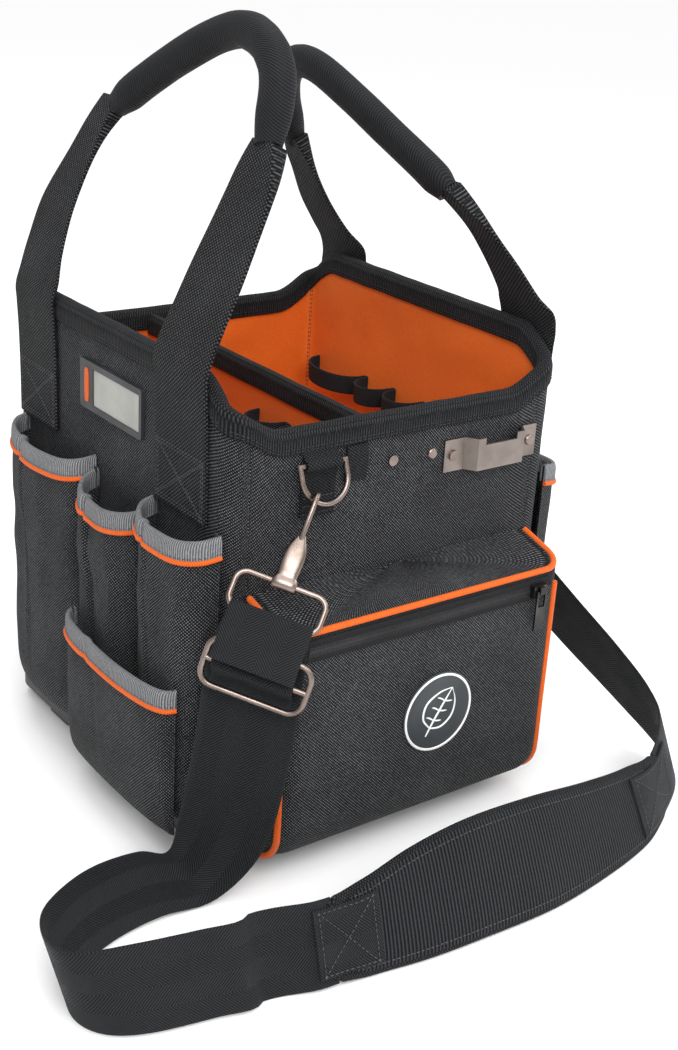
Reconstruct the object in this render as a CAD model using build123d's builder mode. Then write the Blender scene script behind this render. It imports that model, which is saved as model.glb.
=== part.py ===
from build123d import *
import math
import os

# Garden tool bag: a boxy open-top tote with a moulded base, outside pockets, a zipped
# front pocket, two carrying handles and a detachable shoulder strap lying on the floor.
# Millimetres. X runs right along the front, the front faces -Y, Z is up, and the origin
# is the centre of the base on the floor.

os.makedirs("parts", exist_ok=True)

# ---- driving dimensions -------------------------------------------------------------
W = 250.0                 # body width, left to right
D = 270.0                 # body depth, front to back
CORNER = 14.0             # outside radius of the body's upright corners
PANEL = 5.0               # padded wall: fabric, foam and board
LINING = 1.5              # orange inner fabric
BINDING = 1.5             # webbing folded over the rim
RIM_LOW = 281.0           # rim height at the front and back
RIM_HIGH = 314.0          # rim height along the sides, where the handles are sewn
RIM_MID = 297.0           # rim height at the corners
RIM_FLAT = 100.0          # the high side rim reaches this far from the middle
DIP_FLAT = 86.0           # the low front and back rim reaches this far from the middle
RIM_TALL = 15.0           # height of the binding's skirts
RIM_INSET = PANEL + LINING + BINDING
FOOT = 6.0                # height of the feet
TRAY_FLOOR = 3.0
TRAY_WALL = 3.0
TRAY_TOP = 26.0
BOARD = 4.0               # stiff floor board
FLOOR_TOP = FOOT + TRAY_FLOOR
INSIDE_BOTTOM = FLOOR_TOP + BOARD
SEAM_X = W / 2 - 16       # the side panels wrap round the corners to these seams

DIVIDER_X = -22.0
DIVIDER_T = 5.0
DIVIDER_TOP = 275.0

POCKET_WALL = 2.0
SIDE_POCKET_DEEP = 23.0   # upper side pockets stand this far off the wall
LOW_POCKET_DEEP = 13.0    # the low pocket stands this far off the upper ones
SIDE_TAPER = 7.0          # a side pocket's outer face is this much shorter at each end
BACK_POCKET_DEEP = 20.0
BACK_POCKET_WIDE = 104.0
BACK_POCKET_MID = 56.0    # middle of each back pocket, left and right of the bag's middle
BACK_POCKET_TOP = 205.0

ZIP_HALF = 110.0          # half width of the zipped front pocket
ZIP_DEEP = 42.0           # how far it stands off the front wall
ZIP_LINE = 161.0          # height of the zip along the front
ZIP_BOTTOM = 14.0
ZIP_WALL = 3.0
LID_EDGE = 172.0          # height of the lid's front edge
LID_BACK = 184.0          # height of the lid's hinge line
LID_T = 3.0

WEB = 2.0                 # webbing thickness
STRAP = 50.0              # shoulder strap width
HANDLE_WEB = 2.5
HANDLE_LEAN = 25.0        # degrees each handle leans inwards from upright
HINGE_X = W / 2 + 4.0     # the handles bend along these lines
HINGE_Z = RIM_HIGH + 1.0

WIRE = 1.8                # radius of the strap rings' wire
DEE_WIRE = 1.7
DEE_X = 62.0              # the front ring hangs at -DEE_X and the back one at +DEE_X
DEE_Z = 259.0
DEE_Y = D / 2 + 4.2
FIT = 0.06                # running clearance of a ring's bar in its webbing loop


def save(piece, name):
    """Label a finished piece and write its STEP file."""
    piece.part.label = name
    export_step(piece.part, f"parts/{name}.step")


def below_rim(drop, bottom):
    """Block wider than the bag, from a height up to the wavy rim less a drop."""
    half = D / 2 + 10
    end = D / 2
    wide = W / 2 + 10
    with BuildPart(mode=Mode.PRIVATE) as block:
        with BuildSketch(Plane.YZ):
            with BuildLine():
                FilletPolyline((-half, RIM_MID - drop - 5), (-end, RIM_MID - drop),
                               (-RIM_FLAT, RIM_HIGH - drop), (RIM_FLAT, RIM_HIGH - drop),
                               (end, RIM_MID - drop), (half, RIM_MID - drop - 5), radius=30)
                Polyline((half, RIM_MID - drop - 5), (half, bottom), (-half, bottom),
                         (-half, RIM_MID - drop - 5))
            make_face()
        extrude(amount=W, both=True)
        for y in (-D / 2 - 10, D / 2 - RIM_INSET - 0.2):
            with BuildSketch(Plane.XZ.offset(-y - 10 - RIM_INSET - 0.2)):
                with BuildLine():
                    dip = ((-wide, RIM_MID - drop + 4), (-W / 2, RIM_MID - drop),
                           (-DIP_FLAT, RIM_LOW - drop), (DIP_FLAT, RIM_LOW - drop),
                           (W / 2, RIM_MID - drop), (wide, RIM_MID - drop + 4))
                    FilletPolyline(*dip, radius=30)
                    Polyline(dip[-1], (wide, RIM_HIGH + 40), (-wide, RIM_HIGH + 40), dip[0])
                make_face()
            extrude(amount=10 + RIM_INSET + 0.2, mode=Mode.SUBTRACT)
    return block.part


def band(outset, inset):
    """Sketch of the body's outline as a ring, from an outset beyond it to an inset within it."""
    RectangleRounded(W + 2 * outset, D + 2 * outset, CORNER + outset)
    RectangleRounded(W - 2 * inset, D - 2 * inset, max(CORNER - inset, 2), mode=Mode.SUBTRACT)


# ---- base ---------------------------------------------------------------------------
with BuildPart() as tray:
    with BuildSketch(Plane.XY.offset(FOOT)):
        RectangleRounded(W + 2 * TRAY_WALL, D + 2 * TRAY_WALL, CORNER + TRAY_WALL)
    extrude(amount=TRAY_TOP - FOOT)
    with BuildSketch(Plane.XY.offset(FLOOR_TOP)):
        RectangleRounded(W, D, CORNER)
    extrude(amount=TRAY_TOP - FLOOR_TOP, mode=Mode.SUBTRACT)
    chamfer(tray.edges().group_by(Axis.Z)[0], 2)
save(tray, "base_tray")

with BuildPart() as feet:
    with BuildSketch():
        for y in (-D / 2 + 8, D / 2 - 8):
            for x in (-104, -62, -21, 21, 62, 104):
                with Locations((x, y)):
                    RectangleRounded(27, 15, 4)
        for x in (-W / 2 + 8, W / 2 - 8):
            for y in (-78, -26, 26, 78):
                with Locations((x, y)):
                    RectangleRounded(15, 30, 4)
        RectangleRounded(90, 14, 4)
    extrude(amount=FOOT)
    chamfer(feet.edges().group_by(Axis.Z)[0], 1.5)
save(feet, "base_feet")

with BuildPart() as board:
    with BuildSketch(Plane.XY.offset(FLOOR_TOP)):
        RectangleRounded(W - 2 * PANEL, D - 2 * PANEL, CORNER - PANEL)
    extrude(amount=BOARD)
save(board, "floor_board")

# ---- walls --------------------------------------------------------------------------
WALL_REGIONS = {
    "front_panel": (0, -D / 2, 2 * SEAM_X, 40),
    "back_panel": (0, D / 2, 2 * SEAM_X, 40),
    "left_panel": (-W / 2 - 20 + (W / 2 - SEAM_X), 0, 40, D + 10),
    "right_panel": (W / 2 + 20 - (W / 2 - SEAM_X), 0, 40, D + 10),
}
for wall_name, (cx, cy, sx, sy) in WALL_REGIONS.items():
    with BuildPart() as wall:
        with BuildSketch(Plane.XY.offset(FLOOR_TOP)):
            band(0, PANEL)
            with Locations((cx, cy)):
                Rectangle(sx, sy, mode=Mode.INTERSECT)
        extrude(amount=RIM_HIGH)
        add(below_rim(BINDING, 0), mode=Mode.INTERSECT)
    save(wall, wall_name)

with BuildPart() as lining:
    with BuildSketch(Plane.XY.offset(INSIDE_BOTTOM)):
        band(-PANEL, PANEL + LINING)
    extrude(amount=RIM_HIGH)
    add(below_rim(BINDING, 0), mode=Mode.INTERSECT)
save(lining, "lining")

with BuildPart() as rim:
    with BuildSketch(Plane.XY.offset(RIM_LOW - RIM_TALL - 5)):
        band(BINDING, RIM_INSET)
    extrude(amount=RIM_HIGH - RIM_LOW + RIM_TALL + 10)
    add(below_rim(0, 0), mode=Mode.INTERSECT)
    add(below_rim(RIM_TALL, 0), mode=Mode.SUBTRACT)
    with BuildPart(mode=Mode.PRIVATE) as rim_core:
        with BuildSketch(Plane.XY):
            band(0, PANEL + LINING)
        extrude(amount=RIM_HIGH + 20)
        add(below_rim(BINDING, 0), mode=Mode.INTERSECT)
    add(rim_core.part, mode=Mode.SUBTRACT)
save(rim, "rim_binding")

# ---- divider and tool loops ---------------------------------------------------------
DIVIDER_HALF = D / 2 - RIM_INSET - 0.3
with BuildPart() as divider:
    with BuildSketch(Plane.XY.offset(INSIDE_BOTTOM)):
        with Locations((DIVIDER_X, 0)):
            Rectangle(DIVIDER_T, 2 * DIVIDER_HALF)
    extrude(amount=DIVIDER_TOP - INSIDE_BOTTOM)
save(divider, "divider")

with BuildPart() as divider_edge:
    with BuildSketch(Plane.XZ.offset(-DIVIDER_HALF)):
        with Locations((DIVIDER_X, DIVIDER_TOP - 5)):
            Rectangle(DIVIDER_T + 3, 14)
        with Locations((DIVIDER_X, DIVIDER_TOP - 7)):
            Rectangle(DIVIDER_T, 14, mode=Mode.SUBTRACT)
    extrude(amount=2 * DIVIDER_HALF)
save(divider_edge, "divider_binding")

LOOP_TALL = 14.0
LOOP_T = 2.0


def loop_row(face_x, side, loops, reach, low):
    """Open elastic loops standing off an upright face, one solid for each middle and half width."""
    with BuildPart() as row:
        with BuildSketch(Plane.XY.offset(low)):
            for y, half in loops:
                with Locations((face_x, y)):
                    Ellipse(reach, half)
                    Ellipse(reach - LOOP_T, half - LOOP_T, mode=Mode.SUBTRACT)
            with Locations((face_x - side * W / 2, 0)):
                Rectangle(W, D, mode=Mode.SUBTRACT)
        extrude(amount=LOOP_TALL)
    return row


# Uneven loops along the right wall, and even ones on the divider's left face.
RIGHT_LOOPS = ((83, 29), (36, 15), (2, 16), (-36, 19), (-80, 22))
LEFT_LOOPS = ((-104, 15), (-68, 15), (-32, 15))
save(loop_row(W / 2 - PANEL - LINING, -1, RIGHT_LOOPS, 22, 219), "tool_loops_right")
save(loop_row(DIVIDER_X - DIVIDER_T / 2, -1, LEFT_LOOPS, 20, 236), "tool_loops_left")


# ---- outside pockets ----------------------------------------------------------------
def side_pocket(side, front, back, wall_x, deep, top):
    """Open-topped pocket on a side wall, from y front to y back, its ends drawn in."""
    x_wall = side * wall_x
    x_out = side * (wall_x + deep)
    x_in = side * (wall_x + deep - POCKET_WALL)
    with BuildPart() as pocket:
        with BuildSketch(Plane.XY.offset(TRAY_TOP)):
            with BuildLine():
                Polyline((x_wall, front), (x_out, front + SIDE_TAPER),
                         (x_out, back - SIDE_TAPER), (x_wall, back), close=True)
            make_face()
        extrude(amount=top - TRAY_TOP)
        with BuildSketch(Plane.XY.offset(TRAY_TOP + POCKET_WALL)):
            with BuildLine():
                inner_front = front + POCKET_WALL
                inner_back = back - POCKET_WALL
                Polyline((x_wall, inner_front), (x_in, inner_front + SIDE_TAPER),
                         (x_in, inner_back - SIDE_TAPER), (x_wall, inner_back), close=True)
            make_face()
        extrude(amount=top, mode=Mode.SUBTRACT)
    return pocket


UPPER_X = W / 2 + SIDE_POCKET_DEEP
SIDE_POCKETS = {          # front end, back end, wall it stands on, depth, top
    "back": (18, 116, W / 2, SIDE_POCKET_DEEP, 222),
    "middle": (-56, 17, W / 2, SIDE_POCKET_DEEP, 212),
    "front": (-130, -57, W / 2, SIDE_POCKET_DEEP, 222),
    "low": (-122, 9, UPPER_X, LOW_POCKET_DEEP, 122),
}
for side, side_name in ((-1, "left"), (1, "right")):
    for place, sizes in SIDE_POCKETS.items():
        save(side_pocket(side, *sizes), f"{side_name}_pocket_{place}")

for side, side_name in ((-1, "left"), (1, "right")):
    with BuildPart() as rear:
        with BuildSketch(Plane.XY.offset(TRAY_TOP)):
            with Locations((side * BACK_POCKET_MID, D / 2 + BACK_POCKET_DEEP / 2)):
                Rectangle(BACK_POCKET_WIDE, BACK_POCKET_DEEP)
        extrude(amount=BACK_POCKET_TOP - TRAY_TOP)
        with BuildSketch(Plane.XY.offset(TRAY_TOP + POCKET_WALL)):
            with Locations((side * BACK_POCKET_MID, D / 2 + (BACK_POCKET_DEEP - POCKET_WALL) / 2)):
                Rectangle(BACK_POCKET_WIDE - 2 * POCKET_WALL, BACK_POCKET_DEEP - POCKET_WALL)
        extrude(amount=BACK_POCKET_TOP, mode=Mode.SUBTRACT)
    save(rear, f"back_pocket_{side_name}")

# ---- name tag -----------------------------------------------------------------------
TAG_Y = -4.0
TAG_Z = 268.0
TAG_LONG = 78.0
TAG_TALL = 32.0
FILM_Y = TAG_Y - 7        # the film window sits towards the front of the tag
FILM_LONG = 58.0
FILM_TALL = 24.0
with BuildPart() as tag:
    with BuildSketch(Plane.YZ.offset(-W / 2)):
        with Locations((TAG_Y, TAG_Z)):
            RectangleRounded(TAG_LONG, TAG_TALL, 2)
    extrude(amount=-2.5)
    with BuildSketch(Plane.YZ.offset(-W / 2 - 1)):
        with Locations((FILM_Y, TAG_Z)):
            Rectangle(FILM_LONG, FILM_TALL)
    extrude(amount=-4, mode=Mode.SUBTRACT)
save(tag, "name_tag_frame")

with BuildPart() as window:
    with BuildSketch(Plane.YZ.offset(-W / 2 - 1)):
        with Locations((FILM_Y, TAG_Z)):
            Rectangle(FILM_LONG, FILM_TALL)
    extrude(amount=-0.8)
save(window, "name_tag_window")

# ---- handles ------------------------------------------------------------------------
# Outlines are drawn in each handle's own leaning plane: along the bag, then up the plane.
LEFT_LEGS = (
    ((122, 2), (128, 60), (112, 112), (92, 134), (74, 118), (84, 96), (86, 60), (68, 2)),
    ((-118, 2), (-116, 60), (-112, 108), (-100, 132), (-80, 122), (-68, 100), (-62, 60), (-60, 2)),
)
LEFT_GRIP = ((82, 127), (44, 158), (4, 184), (-36, 190), (-74, 168), (-89, 128))
RIGHT_LEGS = (
    ((-124, 2), (-104, 34), (-82, 62), (-56, 88), (-40, 72), (-56, 48), (-70, 26), (-72, 2)),
    ((132, 2), (142, 40), (140, 82), (126, 92), (112, 82), (106, 40), (78, 2)),
)
RIGHT_GRIP = ((-47, 81), (-12, 106), (28, 136), (72, 158), (108, 142), (124, 88))
GRIP_R = 11.0
SEWN_BOTTOM = 223.0
SEWN_LEGS = {-1: ((122, 68), (-60, -118)), 1: ((-72, -124), (132, 78))}

for side, side_name, legs, path_points in (
        (-1, "left", LEFT_LEGS, LEFT_GRIP), (1, "right", RIGHT_LEGS, RIGHT_GRIP)):
    lean = math.radians(HANDLE_LEAN)
    up = Vector(-side * math.sin(lean), 0, math.cos(lean))
    along = Vector(0, 1, 0)
    handle_plane = Plane(origin=(side * HINGE_X, 0, HINGE_Z), x_dir=along, z_dir=along.cross(up))

    with BuildPart() as sewn:
        face_x = W / 2
        out_x = face_x + BINDING + HANDLE_WEB
        for y_high, y_low in SEWN_LEGS[side]:
            with BuildSketch(Plane.XY.offset(SEWN_BOTTOM)):
                with Locations((side * (face_x + out_x) / 2, (y_high + y_low) / 2)):
                    Rectangle(out_x - face_x, y_high - y_low)
            extrude(amount=RIM_HIGH - 1 - SEWN_BOTTOM)
        add(rim.part, mode=Mode.SUBTRACT)
        if side < 0:
            with Locations((-face_x, TAG_Y, TAG_Z)):
                Box(30, TAG_LONG + 2, TAG_TALL + 2, mode=Mode.SUBTRACT)
    save(sewn, f"{side_name}_handle_sewn_ends")

    with BuildPart() as webbing:
        for outline in legs:
            with BuildSketch(handle_plane):
                with BuildLine():
                    Polyline(*outline, close=True)
                make_face()
            extrude(amount=HANDLE_WEB / 2, both=True)
        for end in (path_points[0], path_points[-1]):
            tip = handle_plane.from_local_coords((end[0], end[1], 0))
            with Locations(tip):
                Sphere(GRIP_R + 0.5, mode=Mode.SUBTRACT)
    save(webbing, f"{side_name}_handle_webbing")

    with BuildPart() as grip:
        with BuildLine() as grip_path:
            FilletPolyline(*[handle_plane.from_local_coords((y, s, 0)) for y, s in path_points], radius=24)
        start = grip_path.line
        with BuildSketch(Plane(origin=start @ 0, z_dir=start % 0)):
            Circle(GRIP_R)
        sweep(path=start)
    save(grip, f"{side_name}_handle_grip")

# ---- ring loops, rings, rivets and the tape clip ------------------------------------
DEE_HALF = 16.0
DEE_DROP = 24.0
DEE_SHANK = 8.0
DEE_TILT = 20.0           # degrees the hooked rings stand out from the wall
for side, side_name in ((-1, "front"), (1, "back")):
    x_mid = side * DEE_X
    y_bar = side * DEE_Y
    with BuildPart() as ring_loop:
        with Locations((x_mid, side * (D / 2 + 3.9), DEE_Z)):
            Box(26, 7.8, 13)
        with Locations(Plane(origin=(x_mid, y_bar, DEE_Z), z_dir=(1, 0, 0))):
            Cylinder(DEE_WIRE + FIT, 40, mode=Mode.SUBTRACT)
    save(ring_loop, f"{side_name}_ring_loop")

    with BuildPart() as dee:
        tilt = math.radians(DEE_TILT)
        dee_plane = Plane(origin=(x_mid, y_bar, DEE_Z), x_dir=(1, 0, 0),
                          z_dir=(0, -math.cos(tilt), -side * math.sin(tilt)))
        with BuildLine(dee_plane) as dee_path:
            bar = Line((-DEE_HALF, 0), (DEE_HALF, 0))
            right_side = Line((DEE_HALF, 0), (DEE_HALF, -DEE_SHANK))
            bow = ThreePointArc((DEE_HALF, -DEE_SHANK), (0, -DEE_DROP), (-DEE_HALF, -DEE_SHANK))
            left_side = Line((-DEE_HALF, -DEE_SHANK), (-DEE_HALF, 0))
        with BuildSketch(Plane(origin=(x_mid, y_bar, DEE_Z), z_dir=(1, 0, 0))):
            Circle(DEE_WIRE)
        sweep(path=dee_path.wire(), transition=Transition.RIGHT)
    save(dee, f"{side_name}_d_ring")

with BuildPart() as tab:
    with Locations((-35, -D / 2 - 1.25, 254)):
        Box(16, 2.5, 22)
save(tab, "webbing_tab")

RIVET_R = 3.4


def rivet_heads(points, y, out):
    """Domed rivet heads on an upright face; out is the way they stand."""
    with BuildPart() as heads:
        for x, z in points:
            face = Plane(origin=(x, y, z), z_dir=(0, out, 0))
            with BuildSketch(face):
                Circle(RIVET_R)
            extrude(amount=1.4)
        chamfer(heads.faces().filter_by(Axis.Y).sort_by(Axis.Y)[0 if out < 0 else -1].edges(), 0.6)
    return heads


panel_rivets = rivet_heads(((-7, 250), (24, 249)), -D / 2, -1)
save(panel_rivets, "panel_rivets")

CLIP_LOW = 235.0
CLIP_TALL = 21.0
CLIP_T = 1.5
CLIP_OUT = 9.0
with BuildPart() as clip:
    with BuildSketch(Plane.XY.offset(CLIP_LOW)):
        with BuildLine():
            y0 = -D / 2
            Polyline((33, y0), (33, y0 - CLIP_T), (49, y0 - CLIP_T), (54, y0 - CLIP_OUT),
                     (92, y0 - CLIP_OUT), (97, y0 - CLIP_T), (109, y0 - CLIP_T), (109, y0), (96, y0),
                     (91, y0 - CLIP_OUT + CLIP_T), (55, y0 - CLIP_OUT + CLIP_T), (50, y0), close=True)
        make_face()
    extrude(amount=CLIP_TALL)
    with Locations((73, -D / 2 - CLIP_OUT, CLIP_LOW + CLIP_TALL)):
        Box(26, 6, 9, mode=Mode.SUBTRACT)
save(clip, "tape_clip")

clip_rivets = rivet_heads(((40, 245.5), (103.5, 245.5)), -D / 2 - CLIP_T, -1)
save(clip_rivets, "clip_rivets")

# ---- zipped front pocket ------------------------------------------------------------
FRONT = -D / 2
FACE = FRONT - ZIP_DEEP
BELLY = 26.0              # radius where the pocket tucks under
SIDE_TURN = 16.0          # radius of the pocket's upright corners


def pocket_block(outside, low, high, inset):
    """Solid of the front pocket between two heights, drawn in by an inset."""
    with BuildPart(mode=Mode.PRIVATE) as block:
        with BuildSketch(Plane.XY.offset(low)):
            with BuildLine():
                half = outside - inset
                face = FACE + inset
                turn = SIDE_TURN - inset
                FilletPolyline((-half, FRONT), (-half, face), (half, face), (half, FRONT), radius=turn)
                Line((half, FRONT), (-half, FRONT))
            make_face()
        extrude(amount=high - low)
    return block.part


with BuildPart() as shell:
    add(pocket_block(ZIP_HALF, ZIP_BOTTOM, ZIP_LINE - 0.3, 0))
    fillet(shell.edges().filter_by(Axis.X).group_by(Axis.Z)[0].sort_by(Axis.Y)[0], BELLY * 0.6)
    add(pocket_block(ZIP_HALF, ZIP_BOTTOM + ZIP_WALL + 12, ZIP_LINE + 5, ZIP_WALL), mode=Mode.SUBTRACT)
    with Locations((0, FRONT, 0)):
        Box(3 * W, 2 * TRAY_WALL + 0.2, 2 * TRAY_TOP, mode=Mode.SUBTRACT)
save(shell, "zip_pocket_shell")

with BuildPart() as lid:
    add(pocket_block(ZIP_HALF, ZIP_LINE + 0.3, LID_BACK, 0))
    with BuildPart(mode=Mode.PRIVATE) as slope:
        with BuildSketch(Plane.YZ):
            with BuildLine():
                Polyline((FRONT - 1, ZIP_LINE - 5), (FRONT - 1, LID_BACK), (FACE, LID_EDGE),
                         (FACE - 10, LID_EDGE), (FACE - 10, ZIP_LINE - 5), close=True)
            make_face()
        extrude(amount=W, both=True)
    add(slope.part, mode=Mode.INTERSECT)
    with BuildPart(mode=Mode.PRIVATE) as hollow:
        with BuildSketch(Plane.YZ):
            with BuildLine():
                Polyline((FRONT + 5, ZIP_LINE - 5), (FRONT + 5, LID_BACK - LID_T), (FRONT, LID_BACK - LID_T),
                         (FACE, LID_EDGE - LID_T), (FACE, ZIP_LINE - 5), close=True)
            make_face()
        extrude(amount=W, both=True)
        add(pocket_block(ZIP_HALF, ZIP_LINE - 5, LID_BACK, ZIP_WALL), mode=Mode.INTERSECT)
    add(hollow.part, mode=Mode.SUBTRACT)
save(lid, "zip_pocket_lid")

TAPE_T = 0.8
for tape_name, tape_low, tape_high in (
        ("zip_tape_lower", ZIP_LINE - 7, ZIP_LINE - 0.3), ("zip_tape_upper", ZIP_LINE + 0.3, ZIP_LINE + 7)):
    with BuildPart() as tape:
        with Locations((0, FACE - TAPE_T / 2, (tape_low + tape_high) / 2)):
            Box(2 * (ZIP_HALF - SIDE_TURN), TAPE_T, tape_high - tape_low)
    save(tape, tape_name)

SLIDER_X = 84.0
TAPE_Y = FACE - TAPE_T
PULL_Y = TAPE_Y - 5.4
with BuildPart() as zip_slider:
    with Locations((SLIDER_X, TAPE_Y - 2.3, ZIP_LINE)):
        Box(11, 4, 8)
    with Locations((SLIDER_X, TAPE_Y - 5.3, ZIP_LINE + 1)):
        Box(4, 2.4, 5)
    with Locations(Plane(origin=(SLIDER_X, PULL_Y, ZIP_LINE), z_dir=(1, 0, 0))):
        Cylinder(0.9, 10, mode=Mode.SUBTRACT)
save(zip_slider, "zip_slider")

with BuildPart() as pull:
    with Locations(Plane(origin=(SLIDER_X, PULL_Y, ZIP_LINE), z_dir=(1, 0, 0))):
        Cylinder(0.8, 8)
    for x in (-3.4, 3.4):
        with Locations((SLIDER_X + x, PULL_Y, ZIP_LINE - 5)):
            Box(1.4, 1.4, 11)
    with Locations((SLIDER_X, PULL_Y, ZIP_LINE - 18)):
        Box(8.2, 1.4, 16)
save(pull, "zip_pull")

BADGE_X = 10.0
BADGE_Z = 93.0
BADGE_R = 27.5
with BuildPart() as badge:
    with BuildSketch(Plane(origin=(BADGE_X, FACE, BADGE_Z), z_dir=(0, -1, 0))):
        Circle(BADGE_R)
    extrude(amount=1.6)
save(badge, "badge")

# ---- strap hardware -----------------------------------------------------------------
# Each end has a snap hook through the D-ring and a rectangular ring for the webbing. The
# hardware lies in a plane with three directions: across the strap, up to the D-ring, out.
RING_HALF = 29.0
RING_TALL = 22.0
HOOK_REACH = 50.0         # from the ring's upper bar to the middle of the hook's bow
STRAP_GAP = 4.8           # the webbing's end stops this far below the ring's lower bar
BOW_GAP = 1.6             # the D-ring's wire sits this far beyond the middle of the bow
BOW_SHIFT = 0.75          # and this far to the gate's side of the hook's line
ENDS = {
    "front": (-1, 35, Vector(0.562, 0.273, 0.781), Vector(0.689, -0.672, -0.271)),
    "back": (1, 60, Vector(-0.863, -0.317, 0.391), Vector(-0.347, -0.167, -0.923)),
}
ring_bottoms = {}
for end_name, (side, pull_turn, upward, across) in ENDS.items():
    tilt = math.radians(DEE_TILT)
    turn = math.radians(pull_turn)
    bow_r = DEE_DROP - DEE_SHANK
    hang = DEE_SHANK + bow_r * math.cos(turn)
    pivot = Vector(side * (DEE_X + bow_r * math.sin(turn)), side * (DEE_Y + hang * math.sin(tilt)),
                   DEE_Z - hang * math.cos(tilt))
    out = across.cross(upward).normalized()
    upward = out.cross(across).normalized()
    across = across.normalized()
    top_bar = pivot - upward * (HOOK_REACH + BOW_GAP) + out * BOW_SHIFT
    ring_low = top_bar - upward * RING_TALL
    ring_bottoms[end_name] = (ring_low - upward * STRAP_GAP, across)
    print(end_name, "pivot", pivot, "bar", top_bar, "low", ring_low)
    print(end_name, "up", upward, "across", across, "out", out)
    ring_plane = Plane(origin=ring_low + upward * (RING_TALL / 2), x_dir=across, z_dir=out)
    with BuildPart() as ring:
        with BuildLine(ring_plane) as ring_path:
            half_w = RING_HALF - WIRE
            half_h = RING_TALL / 2
            FilletPolyline((0, half_h), (half_w, half_h), (half_w, -half_h), (-half_w, -half_h),
                           (-half_w, half_h), (-1, half_h), radius=7)
            Line((-1, half_h), (0, half_h))
        with BuildSketch(Plane(origin=top_bar, z_dir=across)):
            Circle(WIRE)
        sweep(path=ring_path.wire())
    save(ring, f"{end_name}_strap_ring")

    hook_plane = Plane(origin=top_bar, x_dir=out, z_dir=out.cross(upward))
    with BuildPart() as hook:
        with Locations(Plane(origin=top_bar, z_dir=across)):
            Cylinder(WIRE + 2.2, 15)
        with BuildSketch(hook_plane.offset(-6.5)):
            with BuildLine():
                Polyline((-4, 3), (4.5, 3), (5, 20), (2.5, 29), (-1, 29), (-4, 24), close=True)
            make_face()
        extrude(amount=13)
        with Locations(Plane(origin=top_bar, z_dir=across)):
            Cylinder(WIRE + FIT, 30, mode=Mode.SUBTRACT)
        with BuildLine(hook_plane) as wire_path:
            FilletPolyline((3, 26), (5.5, 44), (5, HOOK_REACH + 6), (-6.5, HOOK_REACH + 6),
                           (-6.5, HOOK_REACH - 5), radius=5.4)
        with BuildSketch(Plane(origin=wire_path.line @ 0, z_dir=wire_path.line % 0)):
            Circle(1.7)
        sweep(path=wire_path.line)
    save(hook, f"{end_name}_hook")

    with BuildPart() as gate:
        with BuildSketch(hook_plane.offset(-1.5)):
            with BuildLine():
                Polyline((-5.5, 25.5), (-4.3, 25.5), (-5.6, HOOK_REACH - 7), (-9, HOOK_REACH - 10),
                         (-11, 33), (-7, 31), close=True)
            make_face()
        extrude(amount=3)
    save(gate, f"{end_name}_hook_gate")

# ---- shoulder strap -----------------------------------------------------------------
# The webbing is a ribbon. Each section is its lower edge point and its upper edge point.
front_end, front_across = ring_bottoms["front"]
back_end, back_across = ring_bottoms["back"]
STRAP_SECTIONS = (
    (front_end - front_across * (STRAP / 2), front_end + front_across * (STRAP / 2)),
    ((-139, -143, 158), (-100, -183, 143)),
    ((-147, -143, 102), (-108, -184, 90)),
    ((-156, -143, 55), (-120, -180, 38)),
    ((-164, -144, 32), (-143, -166, 3)),
    ((-186, -148, 42), (-178, -162, 2)),
    ((-215, -152, 46), (-208, -165, 1)),
    ((-240, -162, 48), (-233, -175, 1)),
    ((-262, -178, 49), (-253, -192, 1)),
    ((-271, -200, 50), (-261, -212, 1)),
    ((-264, -219, 50), (-254, -231, 1)),
    ((-235, -229, 50), (-232, -244, 1)),
    ((-190, -238, 49), (-188, -254, 1)),
    ((-150, -245, 49), (-150, -262, 1)),
    ((-120, -246, 46), (-124, -265, 1)),
    ((-95, -246, 47), (-100, -267, 1)),
    ((-60, -245, 56), (-64, -273, 1)),
    ((-20, -246, 62), (-22, -276, 1)),
    ((30, -246, 60), (30, -277, 1)),
    ((80, -243, 52), (82, -270, 1)),
    ((125, -236, 44), (128, -259, 1)),
    ((158, -229, 44), (162, -244, 2)),
    ((190, -205, 52), (198, -221, 5)),
    ((203, -180, 60), (213, -190, 12)),
    ((201, -150, 78), (212, -145, 30)),
    ((194, -110, 102), (204, -92, 56)),
    ((186, -60, 132), (194, -35, 88)),
    ((177, 0, 165), (184, 25, 122)),
    ((170, 70, 200), (175, 92, 157)),
    ((160, 128, 222), (166, 146, 176)),
    (back_end - back_across * (STRAP / 2), back_end + back_across * (STRAP / 2)),
)
FLOOR_START = 6
PAD_START = 14
PAD_END = 21
PAD_THICK = {14: 3.0, 15: 4.0, 20: 4.0, 21: 3.0}
PAD_MIDDLE = 9.0


def ribbon(first, last, pad=False):
    """Strip lofted span by span between two of the strap's sections."""
    mids = [(Vector(a) + Vector(b)) * 0.5 for a, b in STRAP_SECTIONS]
    with BuildPart() as strip:
        for span in range(first, last):
            for i in (span, span + 1):
                high, low = STRAP_SECTIONS[i]
                ahead = mids[min(i + 1, len(mids) - 1)]
                behind = mids[max(i - 1, 0)]
                edge = Vector(low) - Vector(high)
                thick = PAD_THICK.get(i, PAD_MIDDLE) if pad else WEB
                with BuildSketch(Plane(origin=mids[i], x_dir=edge, z_dir=ahead - behind)):
                    Rectangle(edge.length, thick)
            loft(ruled=True)
    return strip


save(ribbon(0, FLOOR_START), "strap_front_run")
save(ribbon(FLOOR_START, PAD_START), "strap_floor_run")
save(ribbon(PAD_START, PAD_END, pad=True), "shoulder_pad")
save(ribbon(PAD_END, len(STRAP_SECTIONS) - 1), "strap_back_run")

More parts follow.
